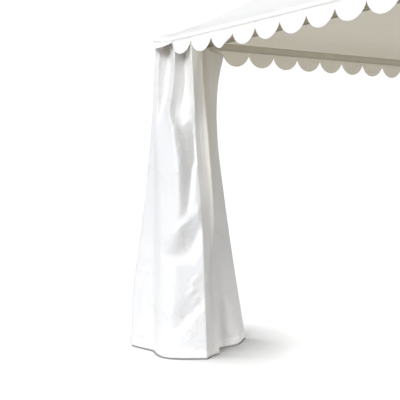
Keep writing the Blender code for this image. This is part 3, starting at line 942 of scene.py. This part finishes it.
def fold_back(bm, faces, lobe):
    """Folds a lobe's lower right part back behind the rest of it."""
    foot = Vector(((lobe + FOLD_FOOT) * LOBE_PITCH, 0.0, SLIT_TOP - LOBE_DEPTH))
    head = Vector(((lobe + 1) * LOBE_PITCH, 0.0, SLIT_TOP - FOLD_RISE))
    normal = (head - foot).cross(Vector((0, -1, 0))).normalized()
    if normal.x < 0:
        normal = -normal
    parts = set(faces)
    for face in faces:
        parts.update(face.verts)
        parts.update(face.edges)
    bmesh.ops.bisect_plane(bm, geom=list(parts), dist=1e-6, plane_co=foot, plane_no=normal)
    for vert in bm.verts:
        beyond = (vert.co - foot).dot(normal)
        in_lobe = lobe * LOBE_PITCH < vert.co.x < (lobe + 1) * LOBE_PITCH
        if beyond > 1e-5 and in_lobe and vert.co.z < SLIT_TOP:
            vert.co -= normal * 2 * beyond
            vert.co.y = -min(0.004, 0.0022 + beyond * 0.2)


def hang_lobes(bm, swings):
    """Swings each lobe about the tops of its slits, more at its foot, with a slight curl and twist."""
    chance = np.random.default_rng(41)
    lobes = math.ceil(VALANCE_LENGTH / LOBE_PITCH)
    for lobe in range(lobes):
        curl, twist = chance.uniform(*CURLS), chance.uniform(*TWISTS)
        swings.setdefault(lobe, float(curl))
        swings[lobe] = (swings[lobe], float(twist))
    for vert in bm.verts:
        below = SLIT_TOP - vert.co.z
        if below <= 0:
            continue
        lobe = min(lobes - 1, int(vert.co.x / LOBE_PITCH))
        swing, twist = swings[lobe]
        side = (vert.co.x / LOBE_PITCH - lobe - 0.5) * 2
        steps = 8
        depth = 0.0
        out = 0.0
        for k in range(steps):
            angle = math.radians(swing + twist * side) * min(1.0, 0.35 + (k + 0.5) / steps)
            depth += below / steps * math.cos(angle)
            out += below / steps * math.sin(angle)
        vert.co.z = SLIT_TOP - depth
        vert.co.y += max(out, -0.0008)


def make_valance(side, turn, materials):
    """One side's valance."""
    top = ROOF_CORNER_Z - CAD_ROOF_THICK - VALANCE_GAP
    bm = bmesh.new()
    layer = bm.loops.layers.uv.new("cloth")
    swings = dict(FRONT_SWINGS) if turn == 0 else {}
    for lobe in range(math.ceil(VALANCE_LENGTH / LOBE_PITCH)):
        faces = add_lobe(bm, layer, lobe, top, turn == 0 and lobe == 0)
        if turn == 0 and lobe == FOLDED_LOBE:
            fold_back(bm, faces, lobe)
    hang_lobes(bm, swings)
    if turn == 0:
        for vert in bm.verts:
            pull = CORNER_PULL * max(0.0, 1 - vert.co.x / PULLED_LENGTH)
            vert.co.z += pull * min(1.0, (top - vert.co.z) / (top - SLIT_TOP))
    bmesh.ops.remove_doubles(bm, verts=bm.verts, dist=1e-5)
    edge = [vert for vert in bm.verts if vert.is_boundary and vert.co.z < SLIT_TOP - 0.004]
    hem = {vert.index for vert in edge}
    for vert in bm.verts:
        x = vert.co.x - ROOF_HALF
        place = np.array([x, VALANCE_INSET - edge_offset(x) - vert.co.y, vert.co.z])
        vert.co = Vector(turn_points(place, turn))
        vert.co.z += tip_lift(vert.co.x, vert.co.y)
    mesh = mesh_of(bm, "valance_" + side)
    mesh.shade_smooth()
    weights = np.array([float(index in hem) for index in range(len(mesh.vertices))])
    mesh = cloth_mesh(mesh.name, mesh, weights, materials)
    piece = add_piece(mesh, "valance_cloth_" + side, ["valance_" + side])


# Curtains


def hanging_line(x):
    """Where a curtain's middle hangs just inside the front valance, from the post's centre."""
    return HALF_SPACING - edge_offset(x - HALF_SPACING) + HANG_OFFSET


def curtain_levels(heading):
    """Heights of a curtain's rows, with close ones where the hem's edge is.

    The heading is how far the cloth goes on above the solid's top.
    """
    levels = np.linspace(CURTAIN_TOP, CURTAIN_HEM, CURTAIN_ROWS)
    hem = CURTAIN_HEM + CURTAIN_HEM_WIDTH
    keep = np.abs(levels - hem) > 0.006
    above = CURTAIN_TOP + heading * np.array([0.3, 0.65, 1.0]) if heading else np.array([])
    return np.sort(np.concatenate([above, levels[keep], [hem + 0.0025, hem - 0.0005]]))[::-1]


def curve_weights(t):
    """What a smooth curve's two ends and its slopes there count for, t of the way along it."""
    return 2 * t**3 - 3 * t**2 + 1, 3 * t**2 - 2 * t**3, t**3 - 2 * t**2 + t, t**3 - t**2


def along_line(line, heights):
    """A fold line's (across, out, edge) at these heights, on a smooth curve through its points."""
    path = np.array(line[::-1])
    z, values = path[:, 0], path[:, 1:]
    slopes = np.repeat(np.diff(values[:2], axis=0) / np.diff(z[:2]), 2, 0)
    if len(z) > 2:
        slopes = np.gradient(values, z, axis=0)
    k = np.clip(np.searchsorted(z, heights) - 1, 0, len(z) - 2)
    step = (z[k + 1] - z[k])[:, None]
    t = ((heights - z[k])[:, None] / step).clip(0, 1)
    start, end, leave, arrive = curve_weights(t)
    made = values[k] * start + values[k + 1] * end
    made += step * (slopes[k] * leave + slopes[k + 1] * arrive)
    made[:, 2] = made[:, 2].clip(0, 1)
    return made


def drawn_between(lines):
    """A surface between fold lines. Its rows run from one line to the next, sharp at sharp folds."""
    places, edges = lines[..., :2], lines[..., 2:]
    steps = np.diff(places, axis=1)
    before = np.concatenate([steps[:, :1], steps], axis=1)
    after = np.concatenate([steps, steps[:, -1:]], axis=1)
    soft = (before + after) / 2
    leave = soft + (after - soft) * edges
    arrive = soft + (before - soft) * edges
    parts = []
    for i in range(places.shape[1] - 1):
        for k in range(STEPS_PER_FOLD):
            share = curve_weights(k / STEPS_PER_FOLD)
            ends = places[:, i] * share[0] + places[:, i + 1] * share[1]
            parts.append(ends + leave[:, i] * share[2] + arrive[:, i + 1] * share[3])
    parts.append(places[:, -1])
    return np.stack(parts, axis=1)


def crease_lift(crease, across, height):
    """How far a crease lifts each point, by the nearest point of the crease's path."""
    nearest = np.full(across.shape, 1e9)
    side = np.zeros(across.shape)
    lift = np.zeros(across.shape)
    for i, (start, end) in enumerate(zip(crease.path, crease.path[1:])):
        length = math.dist(start, end)
        along = ((end[0] - start[0]) / length, (end[1] - start[1]) / length)
        offset = (across - start[0], height - start[1])
        reach = np.clip((offset[0] * along[0] + offset[1] * along[1]) / length, 0.0, 1.0)
        past = [offset[axis] - along[axis] * reach * length for axis in (0, 1)]
        distance = np.hypot(*past)
        closer = distance < nearest
        nearest = np.where(closer, distance, nearest)
        side = np.where(closer, along[0] * offset[1] - along[1] * offset[0], side)
        here = crease.lift[i] + (crease.lift[i + 1] - crease.lift[i]) * reach
        lift = np.where(closer, here, lift)
    width = np.where(side > 0, crease.right, crease.left)
    share = np.clip(1 - nearest / width, 0.0, 1.0)
    return lift * (smoothstep(share) * (1 - crease.edge) + share**1.35 * crease.edge)


def loose_creases(chance, left, right, count):
    """Creases of one curtain's own: long slanting ones that start near its gathered top."""
    made = []
    for _ in range(count):
        height = chance.uniform(0.5, 2.0)
        across = chance.uniform(left, right)
        length = chance.uniform(0.25, 0.8)
        lean = chance.uniform(-0.35, 0.35)
        path = [(across + lean * length * t, height - length * t) for t in (0.0, 0.5, 1.0)]
        lift = chance.choice((-1, 1)) * chance.uniform(0.014, 0.034)
        narrow, wide = chance.uniform(0.03, 0.06), chance.uniform(0.07, 0.13)
        flanks = (narrow, wide) if chance.random() < 0.5 else (wide, narrow)
        made.append(Crease(path, (0.0, lift, lift * 0.3), *flanks, float(chance.random() < 0.6)))
    return made


def curtain_points(lines, creases, shown, heading, chance=None):
    """A curtain at the front left corner, as rows of points from its top to its hem.

    shown is the range of lines that its creases lie between. chance moves the lines a little.
    """
    heights = curtain_levels(heading)
    fold_heights = heights - CURTAIN_TOP + FOLD_TOP
    followed = np.stack([along_line(line, fold_heights) for line in lines], axis=1)
    if chance is not None:
        free = smoothstep((CURTAIN_TOP - heights) / 1.2)[:, None]
        for i in range(len(lines)):
            followed[:, i, :2] += free * chance.uniform(-LINE_SHIFT, LINE_SHIFT, 2)
    flat = drawn_between(followed)
    across, out = flat[..., 0], flat[..., 1]
    x = across * ACROSS.x + out * OUTWARD.x
    y = across * ACROSS.y + out * OUTWARD.y
    behind = (heights > SLIT_TOP - LOBE_DEPTH)[:, None]
    for _ in range(2):
        x = np.where(behind, np.maximum(x, hanging_line(y)), x)
        y = np.where(behind, np.maximum(y, hanging_line(x)), y)
    height = np.broadcast_to(heights[:, None], x.shape)
    column = np.arange(x.shape[1]) / STEPS_PER_FOLD
    mask = smoothstep((column - shown[0]) / 0.4) * smoothstep((shown[1] - column) / 0.25)
    fold_height = np.broadcast_to(fold_heights[:, None], x.shape)
    lift = sum(crease_lift(crease, across, fold_height) for crease in creases)
    lift = lift * mask[None, :] * smoothstep((SLIT_TOP - LOBE_DEPTH - height) / 0.10)
    x = x + lift * OUTWARD.x - HALF_SPACING
    y = y + lift * OUTWARD.y - HALF_SPACING
    return np.stack([x, y, height], axis=-1)


def make_curtain(node, points, turned_back, front, back, painted_inside_shade):
    """One curtain, and the lines where it is stitched.

    front and back are its two faces' materials. From the line turned_back on, the cloth is folded
    back inside the tent, and both its faces there take the last material, a colour of painted shade.
    """
    name = node.replace("curtain", "curtain_cloth")
    along, down = path_lengths(points, 1), path_lengths(points, 0)
    surface = grid_mesh(name, points, np.stack([along, -down], axis=-1))
    to_edge = np.minimum(along, along[:, -1:] - along)
    hem = (points[..., 2] < CURTAIN_HEM + CURTAIN_HEM_WIDTH + 0.001) | (to_edge < EDGE_HEM_WIDTH)
    span = points.shape[1] - 1
    inside = [2 * int(turned_back <= i % span / STEPS_PER_FOLD) for i in range(len(surface.polygons))]
    surface.polygons.foreach_set("material_index", inside)
    mesh = cloth_mesh(name, surface, hem.astype(float).ravel(), [front, back, painted_inside_shade, painted_inside_shade])
    piece = add_piece(mesh, name, [node])
    return stitch_lines(points, along)


def stitch_lines(points, along):
    """Lines just above the hem's edge and just inside both side hems, on both faces."""
    normals = grid_normals(points)
    reach = HEM_THICK / 2 + THREAD_RADIUS * 0.3
    above_hem = np.abs(points[:, 0, 2] - (CURTAIN_HEM + CURTAIN_HEM_WIDTH - 0.0005)).argmin()
    left = np.abs(along[len(along) // 2] - EDGE_HEM_WIDTH * 0.85).argmin()
    right = np.abs(along[len(along) // 2, -1] - along[len(along) // 2] - EDGE_HEM_WIDTH * 0.85).argmin()
    lines = []
    for face in (reach, -reach):
        proud = points + normals * face
        lines += [proud[above_hem, 1:-1], proud[2:-2, left], proud[2:-2, right]]
    return lines


def make_cloth(thread):
    outside = cloth_material("coated_canvas", CANVAS)
    # The roof's outer cloth: the canvas with painted shade
    roof_canvas = cloth_material("roof_canvas", ROOF_CANVAS_PAINTED_SHADE)
    # The inside of the roof and the valances: painted warm shade
    painted_inside_shade = cloth_material("canvas_lining", INSIDE_PAINTED_SHADE)
    # The curtains' inner faces: painted light and shade that changes with height
    curtain_lining = cloth_material("curtain_lining", CURTAIN_PAINTED_SHADE_TOP, CURTAIN_PAINTED_SHADE_BOTTOM)
    # The near curtain's flap: painted shade, darker towards the hem
    flap_lining = cloth_material("flap_lining", FLAP_PAINTED_SHADE_TOP, FLAP_PAINTED_SHADE_BOTTOM)
    stitch = running_stitch_tree()
    seams = make_canopy([roof_canvas, painted_inside_shade])
    add_stitching("canopy_stitching", seams, stitch, thread)
    for turn, side in enumerate(SIDES):
        make_valance(side, turn, [outside, painted_inside_shade])
        near_creases, far_creases, chance = NEAR_CREASES, FAR_CREASES, None
        if turn:
            chance = np.random.default_rng(70 + turn)
            near_creases = loose_creases(chance, -0.40, -0.02, 9)
            far_creases = loose_creases(chance, -0.05, 0.20, 5)
        near = curtain_points(NEAR_LINES, near_creases, (0, NEAR_TURN_BACK), HEADING, chance)
        shown = (FAR_TURN_BACK, len(FAR_LINES) - 1)
        far = curtain_points(FAR_LINES, far_creases, shown, 0.0, chance)
        node = "curtain_" + side + "_left_end"
        near = turn_points(near, turn)
        # The near curtain's inner face and its turned-back flap take painted shade colours, darker towards
        # the hem
        seams = make_curtain(node, near, NEAR_TURN_BACK, outside, flap_lining, flap_lining)
        # The far curtain's face towards the inside of the tent takes the painted shade colours, warmer
        # towards the roof; its outer face is the white canvas
        node = "curtain_" + SIDES[turn - 1] + "_right_end"
        far = turn_points(far, turn)
        seams += make_curtain(node, far, FAR_TURN_BACK, curtain_lining, outside, curtain_lining)
        name = "curtain_stitching_" + CORNERS[turn]
        add_stitching(name, seams, stitch, thread)


# Frame


def drawn_outline(size, corner, groove, groove_width, inset, channel=None):
    """A square tube's outline with two shallow grooves a side, and an open channel if given.

    Points run anticlockwise. channel is (half its width, its depth).
    """
    half = size / 2
    points = []
    for quarter in range(4):
        side = [(-half + corner, -half)]
        if quarter == 2 and channel:
            wide, deep = channel
            side += [(-wide, -half), (-wide, -half + deep), (wide, -half + deep), (wide, -half)]
        else:
            for middle in (-half + inset, half - inset):
                near, far = middle - groove_width / 2, middle + groove_width / 2
                side += [(near, -half), (near, -half + groove), (far, -half + groove), (far, -half)]
        side.append((half - corner, -half))
        for k in (1, 2):
            angle = math.radians(-90 + 30 * k)
            reach = half - corner + corner * math.cos(angle)
            side.append((reach, -half + corner + corner * math.sin(angle)))
        turn = Matrix.Rotation(quarter * math.pi / 2, 2)
        points += [(*(turn @ Vector(point)), 0.0) for point in side]
    return points


def drawn_bar(name, outline, length, tree, metal):
    """A drawn bar along X, with crisp edges."""
    return smoothed(grown_on_lines(name, [outline], tree, True, Bar_Length=length, Metal=metal), 25)


def make_drawn_bars(upright, along_x, along_y):
    tree = extrusion_tree()
    outline = drawn_outline(POST_SIZE, corner=0.004, groove=0.0016, groove_width=0.0030, inset=0.014)
    post = drawn_bar("post", outline, post_high.z - post_low.z, tree, upright)
    post.transform(Matrix.Rotation(-math.pi / 2, 4, "Y"))
    post.transform(Matrix.Translation((-HALF_SPACING, -HALF_SPACING, (post_low.z + post_high.z) / 2)))
    grooves = {"groove": 0.0030, "groove_width": 0.0050, "inset": 0.0075}
    outline = drawn_outline(BEAM_SIZE, corner=0.003, **grooves, channel=(0.018, 0.014))
    for turn, side in enumerate(SIDES):
        metal = (along_x, along_y)[turn % 2]
        beam = drawn_bar("beam", outline, beam_high.x - beam_low.x, tree, metal)
        beam.transform(Matrix.Translation((0, -HALF_SPACING, (beam_low.z + beam_high.z) / 2)))
        add_piece(turned(beam, turn), "eave_beam_bar_" + side, ["eave_beam_" + side])
        corner = CORNERS[turn]
        add_piece(turned(post, turn), "post_bar_" + corner, ["post_" + corner])


# A rafter starts this far in from the roof's corner and runs with this gap under the roof's solid
RAFTER_START = 0.036
RAFTER_GAP = 0.0015
# The weld bead round a post: how far its middle is off the post and the plate, and its radius
WELD_OUT = 0.0012
WELD_RADIUS = 0.0026
PLATE_CORNER = 0.010
PLATE_BEVEL = 0.0010


def rafter_path():
    """The centre line of the front left hip rafter, just under the hip of the cloth."""
    first = hip_run(ROOF_HALF - RAFTER_START)
    last = hip_run(CROWN_HALF * 0.7 + 0.012)
    cloth_bow = 1 / (1 - 2 * EDGE_BOW / ROOF_HALF)
    points = []
    for run in np.linspace(first, last, 48):
        slope = (HIP_SLOPE + 2 * HIP_CURVE * run) * math.sqrt(2) * cloth_bow
        drop = CAD_ROOF_THICK + (RAFTER_RADIUS + RAFTER_GAP) * math.sqrt(1 + slope * slope)
        half = ROOF_HALF - run / math.sqrt(2)
        points.append((-half, -half, hip_height(run) - drop))
    return points


def rounded_square(half, corner, height, steps=6):
    points = []
    for quarter in range(4):
        turn = Matrix.Rotation(math.radians(90 * quarter), 2)
        centre = turn @ Vector((half - corner, half - corner))
        for k in range(steps + 1):
            angle = math.radians(90 * (quarter + k / steps))
            x = centre.x + corner * math.cos(angle)
            points.append((x, centre.y + corner * math.sin(angle), height))
    return points


def make_rafters_and_feet(upright, zinc):
    bar = round_bar_tree()
    rafter = grown_on_lines("rafter", [rafter_path()], bar, Bar_Radius=RAFTER_RADIUS, Metal=upright)
    rafter.set_sharp_from_angle(angle=math.radians(50))
    half = (plate_high.x - plate_low.x) / 2
    bm = bmesh.new()
    outline = [bm.verts.new(point) for point in rounded_square(half, PLATE_CORNER, plate_low.z)]
    bm.faces.new(outline)
    lifted = bmesh.ops.extrude_face_region(bm, geom=list(bm.faces))["geom"]
    top = [item for item in lifted if isinstance(item, bmesh.types.BMVert)]
    bmesh.ops.translate(bm, verts=top, vec=(0, 0, plate_high.z - plate_low.z))
    bmesh.ops.recalc_face_normals(bm, faces=bm.faces)
    rim = [edge for edge in bm.edges if all(vert in top for vert in edge.verts)]
    bmesh.ops.bevel(bm, geom=rim, offset=PLATE_BEVEL, segments=2, affect="EDGES")
    plate = mesh_of(bm, "plate", zinc)
    foot = rounded_square(POST_SIZE / 2 + WELD_OUT, 0.005, plate_high.z + WELD_OUT)
    weld = {"Bar_Radius": WELD_RADIUS, "Bar_Sides": 8, "Metal": zinc}
    base = joined("base_plate", [plate, grown_on_lines("bead", [foot], bar, True, **weld)])
    base.transform(Matrix.Translation((-HALF_SPACING, -HALF_SPACING, 0)))
    smoothed(base, 40)
    for turn, corner in enumerate(CORNERS):
        add_piece(turned(rafter, turn), "hip_rafter_bar_" + corner, ["hip_rafter_" + corner])
        add_piece(turned(base, turn), "base_plate_steel_" + corner, ["base_plate_" + corner])


# Bolts: how far in from the plate's edges, to either side of a casting's middle and up from its
# foot, and in from the beam's edges
PLATE_BOLT_INSET = 0.020
HEAD_BOLT_ASIDE = 0.018
HEAD_BOLT_RISE = 0.022
BEAM_BOLT_INSET = 0.014


def bolt_places():
    """Where bolts sit at the front left corner, with the way that each faces."""
    places = []
    reach = (plate_high.x - plate_low.x) / 2 - PLATE_BOLT_INSET
    for x in (-reach, reach):
        for y in (-reach, reach):
            places.append(((x, y, plate_high.z), (0, 0, 1)))
    head_half = (head_high.x - head_low.x) / 2
    for way in ((-1, 0), (0, -1), (1, 0), (0, 1)):
        for aside in (-HEAD_BOLT_ASIDE, HEAD_BOLT_ASIDE):
            x = way[0] * head_half - way[1] * aside
            y = way[1] * head_half + way[0] * aside
            places.append(((x, y, head_low.z + HEAD_BOLT_RISE), (*way, 0)))
    for way in ((-1, 0), (0, -1)):
        for height in (beam_low.z + BEAM_BOLT_INSET, beam_high.z - BEAM_BOLT_INSET):
            places.append(((way[0] * POST_SIZE / 2, way[1] * POST_SIZE / 2, height), (*way, 0)))
    return places


def make_bolts(zinc):
    places = bolt_places()
    points = lines_mesh("bolt_places", [])
    points.from_pydata([(x - HALF_SPACING, y - HALF_SPACING, z) for (x, y, z), _ in places], [], [])
    facing = points.attributes.new("facing", "FLOAT_VECTOR", "POINT")
    facing.data.foreach_set("vector", [float(part) for _, way in places for part in way])
    bolts = grown("bolts", points, bolt_tree(), Metal=zinc)
    whole = joined("bolts", [turned(bolts, turn) for turn in range(4)])
    add_piece(whole, "bolts")


# The peak cap's form. Pairs are (distance from its axis, height): the neck's are counted from its
# top, the others from its foot
KNOB_RADIUS = 0.018
CAP_RIM = 0.006
CAP_NECK = ((0.0125, -0.034), (0.016, -0.042), (0.030, -0.053))
CAP_FLANK = ((0.046, 0.057), (0.063, 0.040), (0.084, 0.0245))
CAP_SEAM = (0.0885, 0.0226)
CAP_STITCH_PITCH = 0.006


def arc(x, z, radius, first, last, count):
    """Points of a circle round (x, z), from the angle first to last, counted from straight up."""
    angles = np.linspace(first, last, count)
    return [(x + radius * math.sin(a), z + radius * math.cos(a)) for a in angles]


def make_cap(cloth, thread, stitch):
    """The peak cap: a turned cloth-covered form with a rolled rim and a small knob."""
    rise = cap_high.z - cap_low.z
    radius = cap_high.x
    profile = arc(0.0, rise - KNOB_RADIUS, KNOB_RADIUS, 0.0, 2.45, 14)
    profile += [(x, rise + z) for x, z in CAP_NECK] + list(CAP_FLANK)
    profile += arc(radius - CAP_RIM, 0.008, CAP_RIM, 0.1, 3.0, 9)
    profile += [(radius - 0.008, 0.0), (0.0, 0.0)]
    bm = bmesh.new()
    verts = [bm.verts.new((x, 0.0, cap_low.z + z)) for x, z in profile]
    edges = [bm.edges.new(pair) for pair in zip(verts, verts[1:])]
    spun = {"cent": (0, 0, 0), "axis": (0, 0, 1), "angle": 2 * math.pi, "steps": 72, "use_merge": True}
    bmesh.ops.spin(bm, geom=verts + edges, **spun)
    bmesh.ops.remove_doubles(bm, verts=bm.verts, dist=1e-5)
    bmesh.ops.recalc_face_normals(bm, faces=bm.faces)
    mesh = smoothed(mesh_of(bm, "cap", cloth), 60)
    add_piece(mesh, "peak_cap_cover", ["peak_cap"])
    angles = np.linspace(0.0, 2 * math.pi, 72, endpoint=False)
    out, up = CAP_SEAM
    ring = [(out * math.cos(a), out * math.sin(a), cap_low.z + up) for a in angles]
    add_stitching("cap_stitching", [ring], stitch, thread, True, CAP_STITCH_PITCH)


def finish_castings(cast):
    for node in ["crown_block"] + ["post_head_" + corner for corner in CORNERS]:
        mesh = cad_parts[node].data
        mesh.materials.clear()
        mesh.materials.append(cast)


def make_frame(thread):
    grains = {"upright": (1.0, 1.0, 0.02), "along_x": (0.02, 1.0, 1.0), "along_y": (1.0, 0.02, 1.0)}
    # The bars take the aluminium colour, with its painted warm shade
    drawn = [metal_material("drawn_" + way, ALUMINIUM_PAINTED_SHADE, 0.48, grains[way], 0.35) for way in grains]
    zinc = zinc_material()
    make_drawn_bars(*drawn)
    make_rafters_and_feet(drawn[0], zinc)
    make_bolts(zinc)
    make_cap(cloth_material("cap_cloth", CANVAS), thread, bpy.data.node_groups["running_stitch"])
    finish_castings(metal_material("cast_aluminium", CASTING, 0.55, (1.0, 1.0, 1.0), 0.7))


# Stage


def make_floor():
    """A pale floor. To the camera it glows a little, less where the tent stands close to it: those are its
    painted shadows.
    """
    bm = bmesh.new()
    bmesh.ops.create_grid(bm, x_segments=1, y_segments=1, size=60.0)
    material, tree, shader = new_material("studio_floor")
    floor = linked("floor", mesh_of(bm, "floor", material))
    floor.visible_shadow = False
    floor.visible_diffuse = False
    floor.visible_glossy = False
    lean = output(tree, "ShaderNodeCombineXYZ", X=SHADOW_LEAN.x, Y=SHADOW_LEAN.y, Z=SHADOW_LEAN.z)
    wide = {"Distance": WIDE_SHADOW.reach, "Normal": lean}
    near = {"Distance": CONTACT_SHADOW.reach}
    glow = FLOOR_GLOW
    for shadow, inputs in ((WIDE_SHADOW, wide), (CONTACT_SHADOW, near)):
        openness = add_node(tree, "ShaderNodeAmbientOcclusion", **inputs).outputs["AO"]
        glow = calculate(tree, "MULTIPLY", glow, calculate(tree, "POWER", openness, shadow.power))
    seen = add_node(tree, "ShaderNodeLightPath").outputs["Is Camera Ray"]
    set_inputs(
        tree,
        shader,
        Base_Color=rgba(WHITE, FLOOR_TONE),
        Roughness=0.9,
        Specular_IOR_Level=0.0,
        Emission_Color=rgba(WHITE),
        Emission_Strength=calculate(tree, "MULTIPLY", glow, seen),
    )


def add_sun(name, light):
    """A soft lamp as far off as a window's light."""
    lamp = bpy.data.lights.new(name, "SUN")
    lamp.energy = light.strength
    lamp.angle = math.radians(light.softness)
    bearing = math.radians(CAMERA_YAW - 90.0 + light.bearing)
    height = math.radians(light.elevation)
    level = math.cos(height)
    source = Vector((level * math.cos(bearing), level * math.sin(bearing), math.sin(height)))
    obj = linked(name, lamp)
    obj.location = source * 8
    obj.rotation_euler = source.to_track_quat("Z", "Y").to_euler()


def make_light():
    world = bpy.data.worlds.new("studio")
    bpy.context.scene.world = world
    world.use_nodes = True
    tree = world.node_tree
    tree.nodes.clear()
    seen = output(tree, "ShaderNodeBackground", Color=rgba(WHITE), Strength=BACKDROP_GLOW)
    place = add_node(tree, "ShaderNodeTexCoord").outputs["Generated"]
    height = add_node(tree, "ShaderNodeSeparateXYZ", _0=place).outputs[2]
    rise = spread(tree, height, SKY_LOW, SKY_HIGH)
    above = calculate(tree, "GREATER_THAN", height, 0.0)
    rise = output(tree, "ShaderNodeMix", {"data_type": "FLOAT"}, _0=above, _2=GROUND_LIGHT, _3=rise)
    tint = blend_colours(tree, above, rgba(GROUND_TINT), rgba(SKY_TINT))
    sky = output(tree, "ShaderNodeBackground", Color=tint, Strength=rise)
    camera = add_node(tree, "ShaderNodeLightPath").outputs["Is Camera Ray"]
    mixed = output(tree, "ShaderNodeMixShader", _0=camera, _1=sky, _2=seen)
    add_node(tree, "ShaderNodeOutputWorld", Surface=mixed)
    add_sun("key", KEY)
    add_sun("fill", FILL)


def make_camera():
    data = bpy.data.cameras.new("camera")
    data.sensor_width = 36.0
    data.lens = CAMERA_LENS
    camera = linked("camera", data)
    camera.location = CAMERA_PLACE
    camera.rotation_euler = (math.radians(90 - CAMERA_PITCH), 0.0, math.radians(CAMERA_YAW))
    bpy.context.scene.camera = camera


make_camera()
make_light()
make_floor()
thread = thread_material()
make_cloth(thread)
make_frame(thread)
bpy.context.scene.view_settings.view_transform = "Standard"
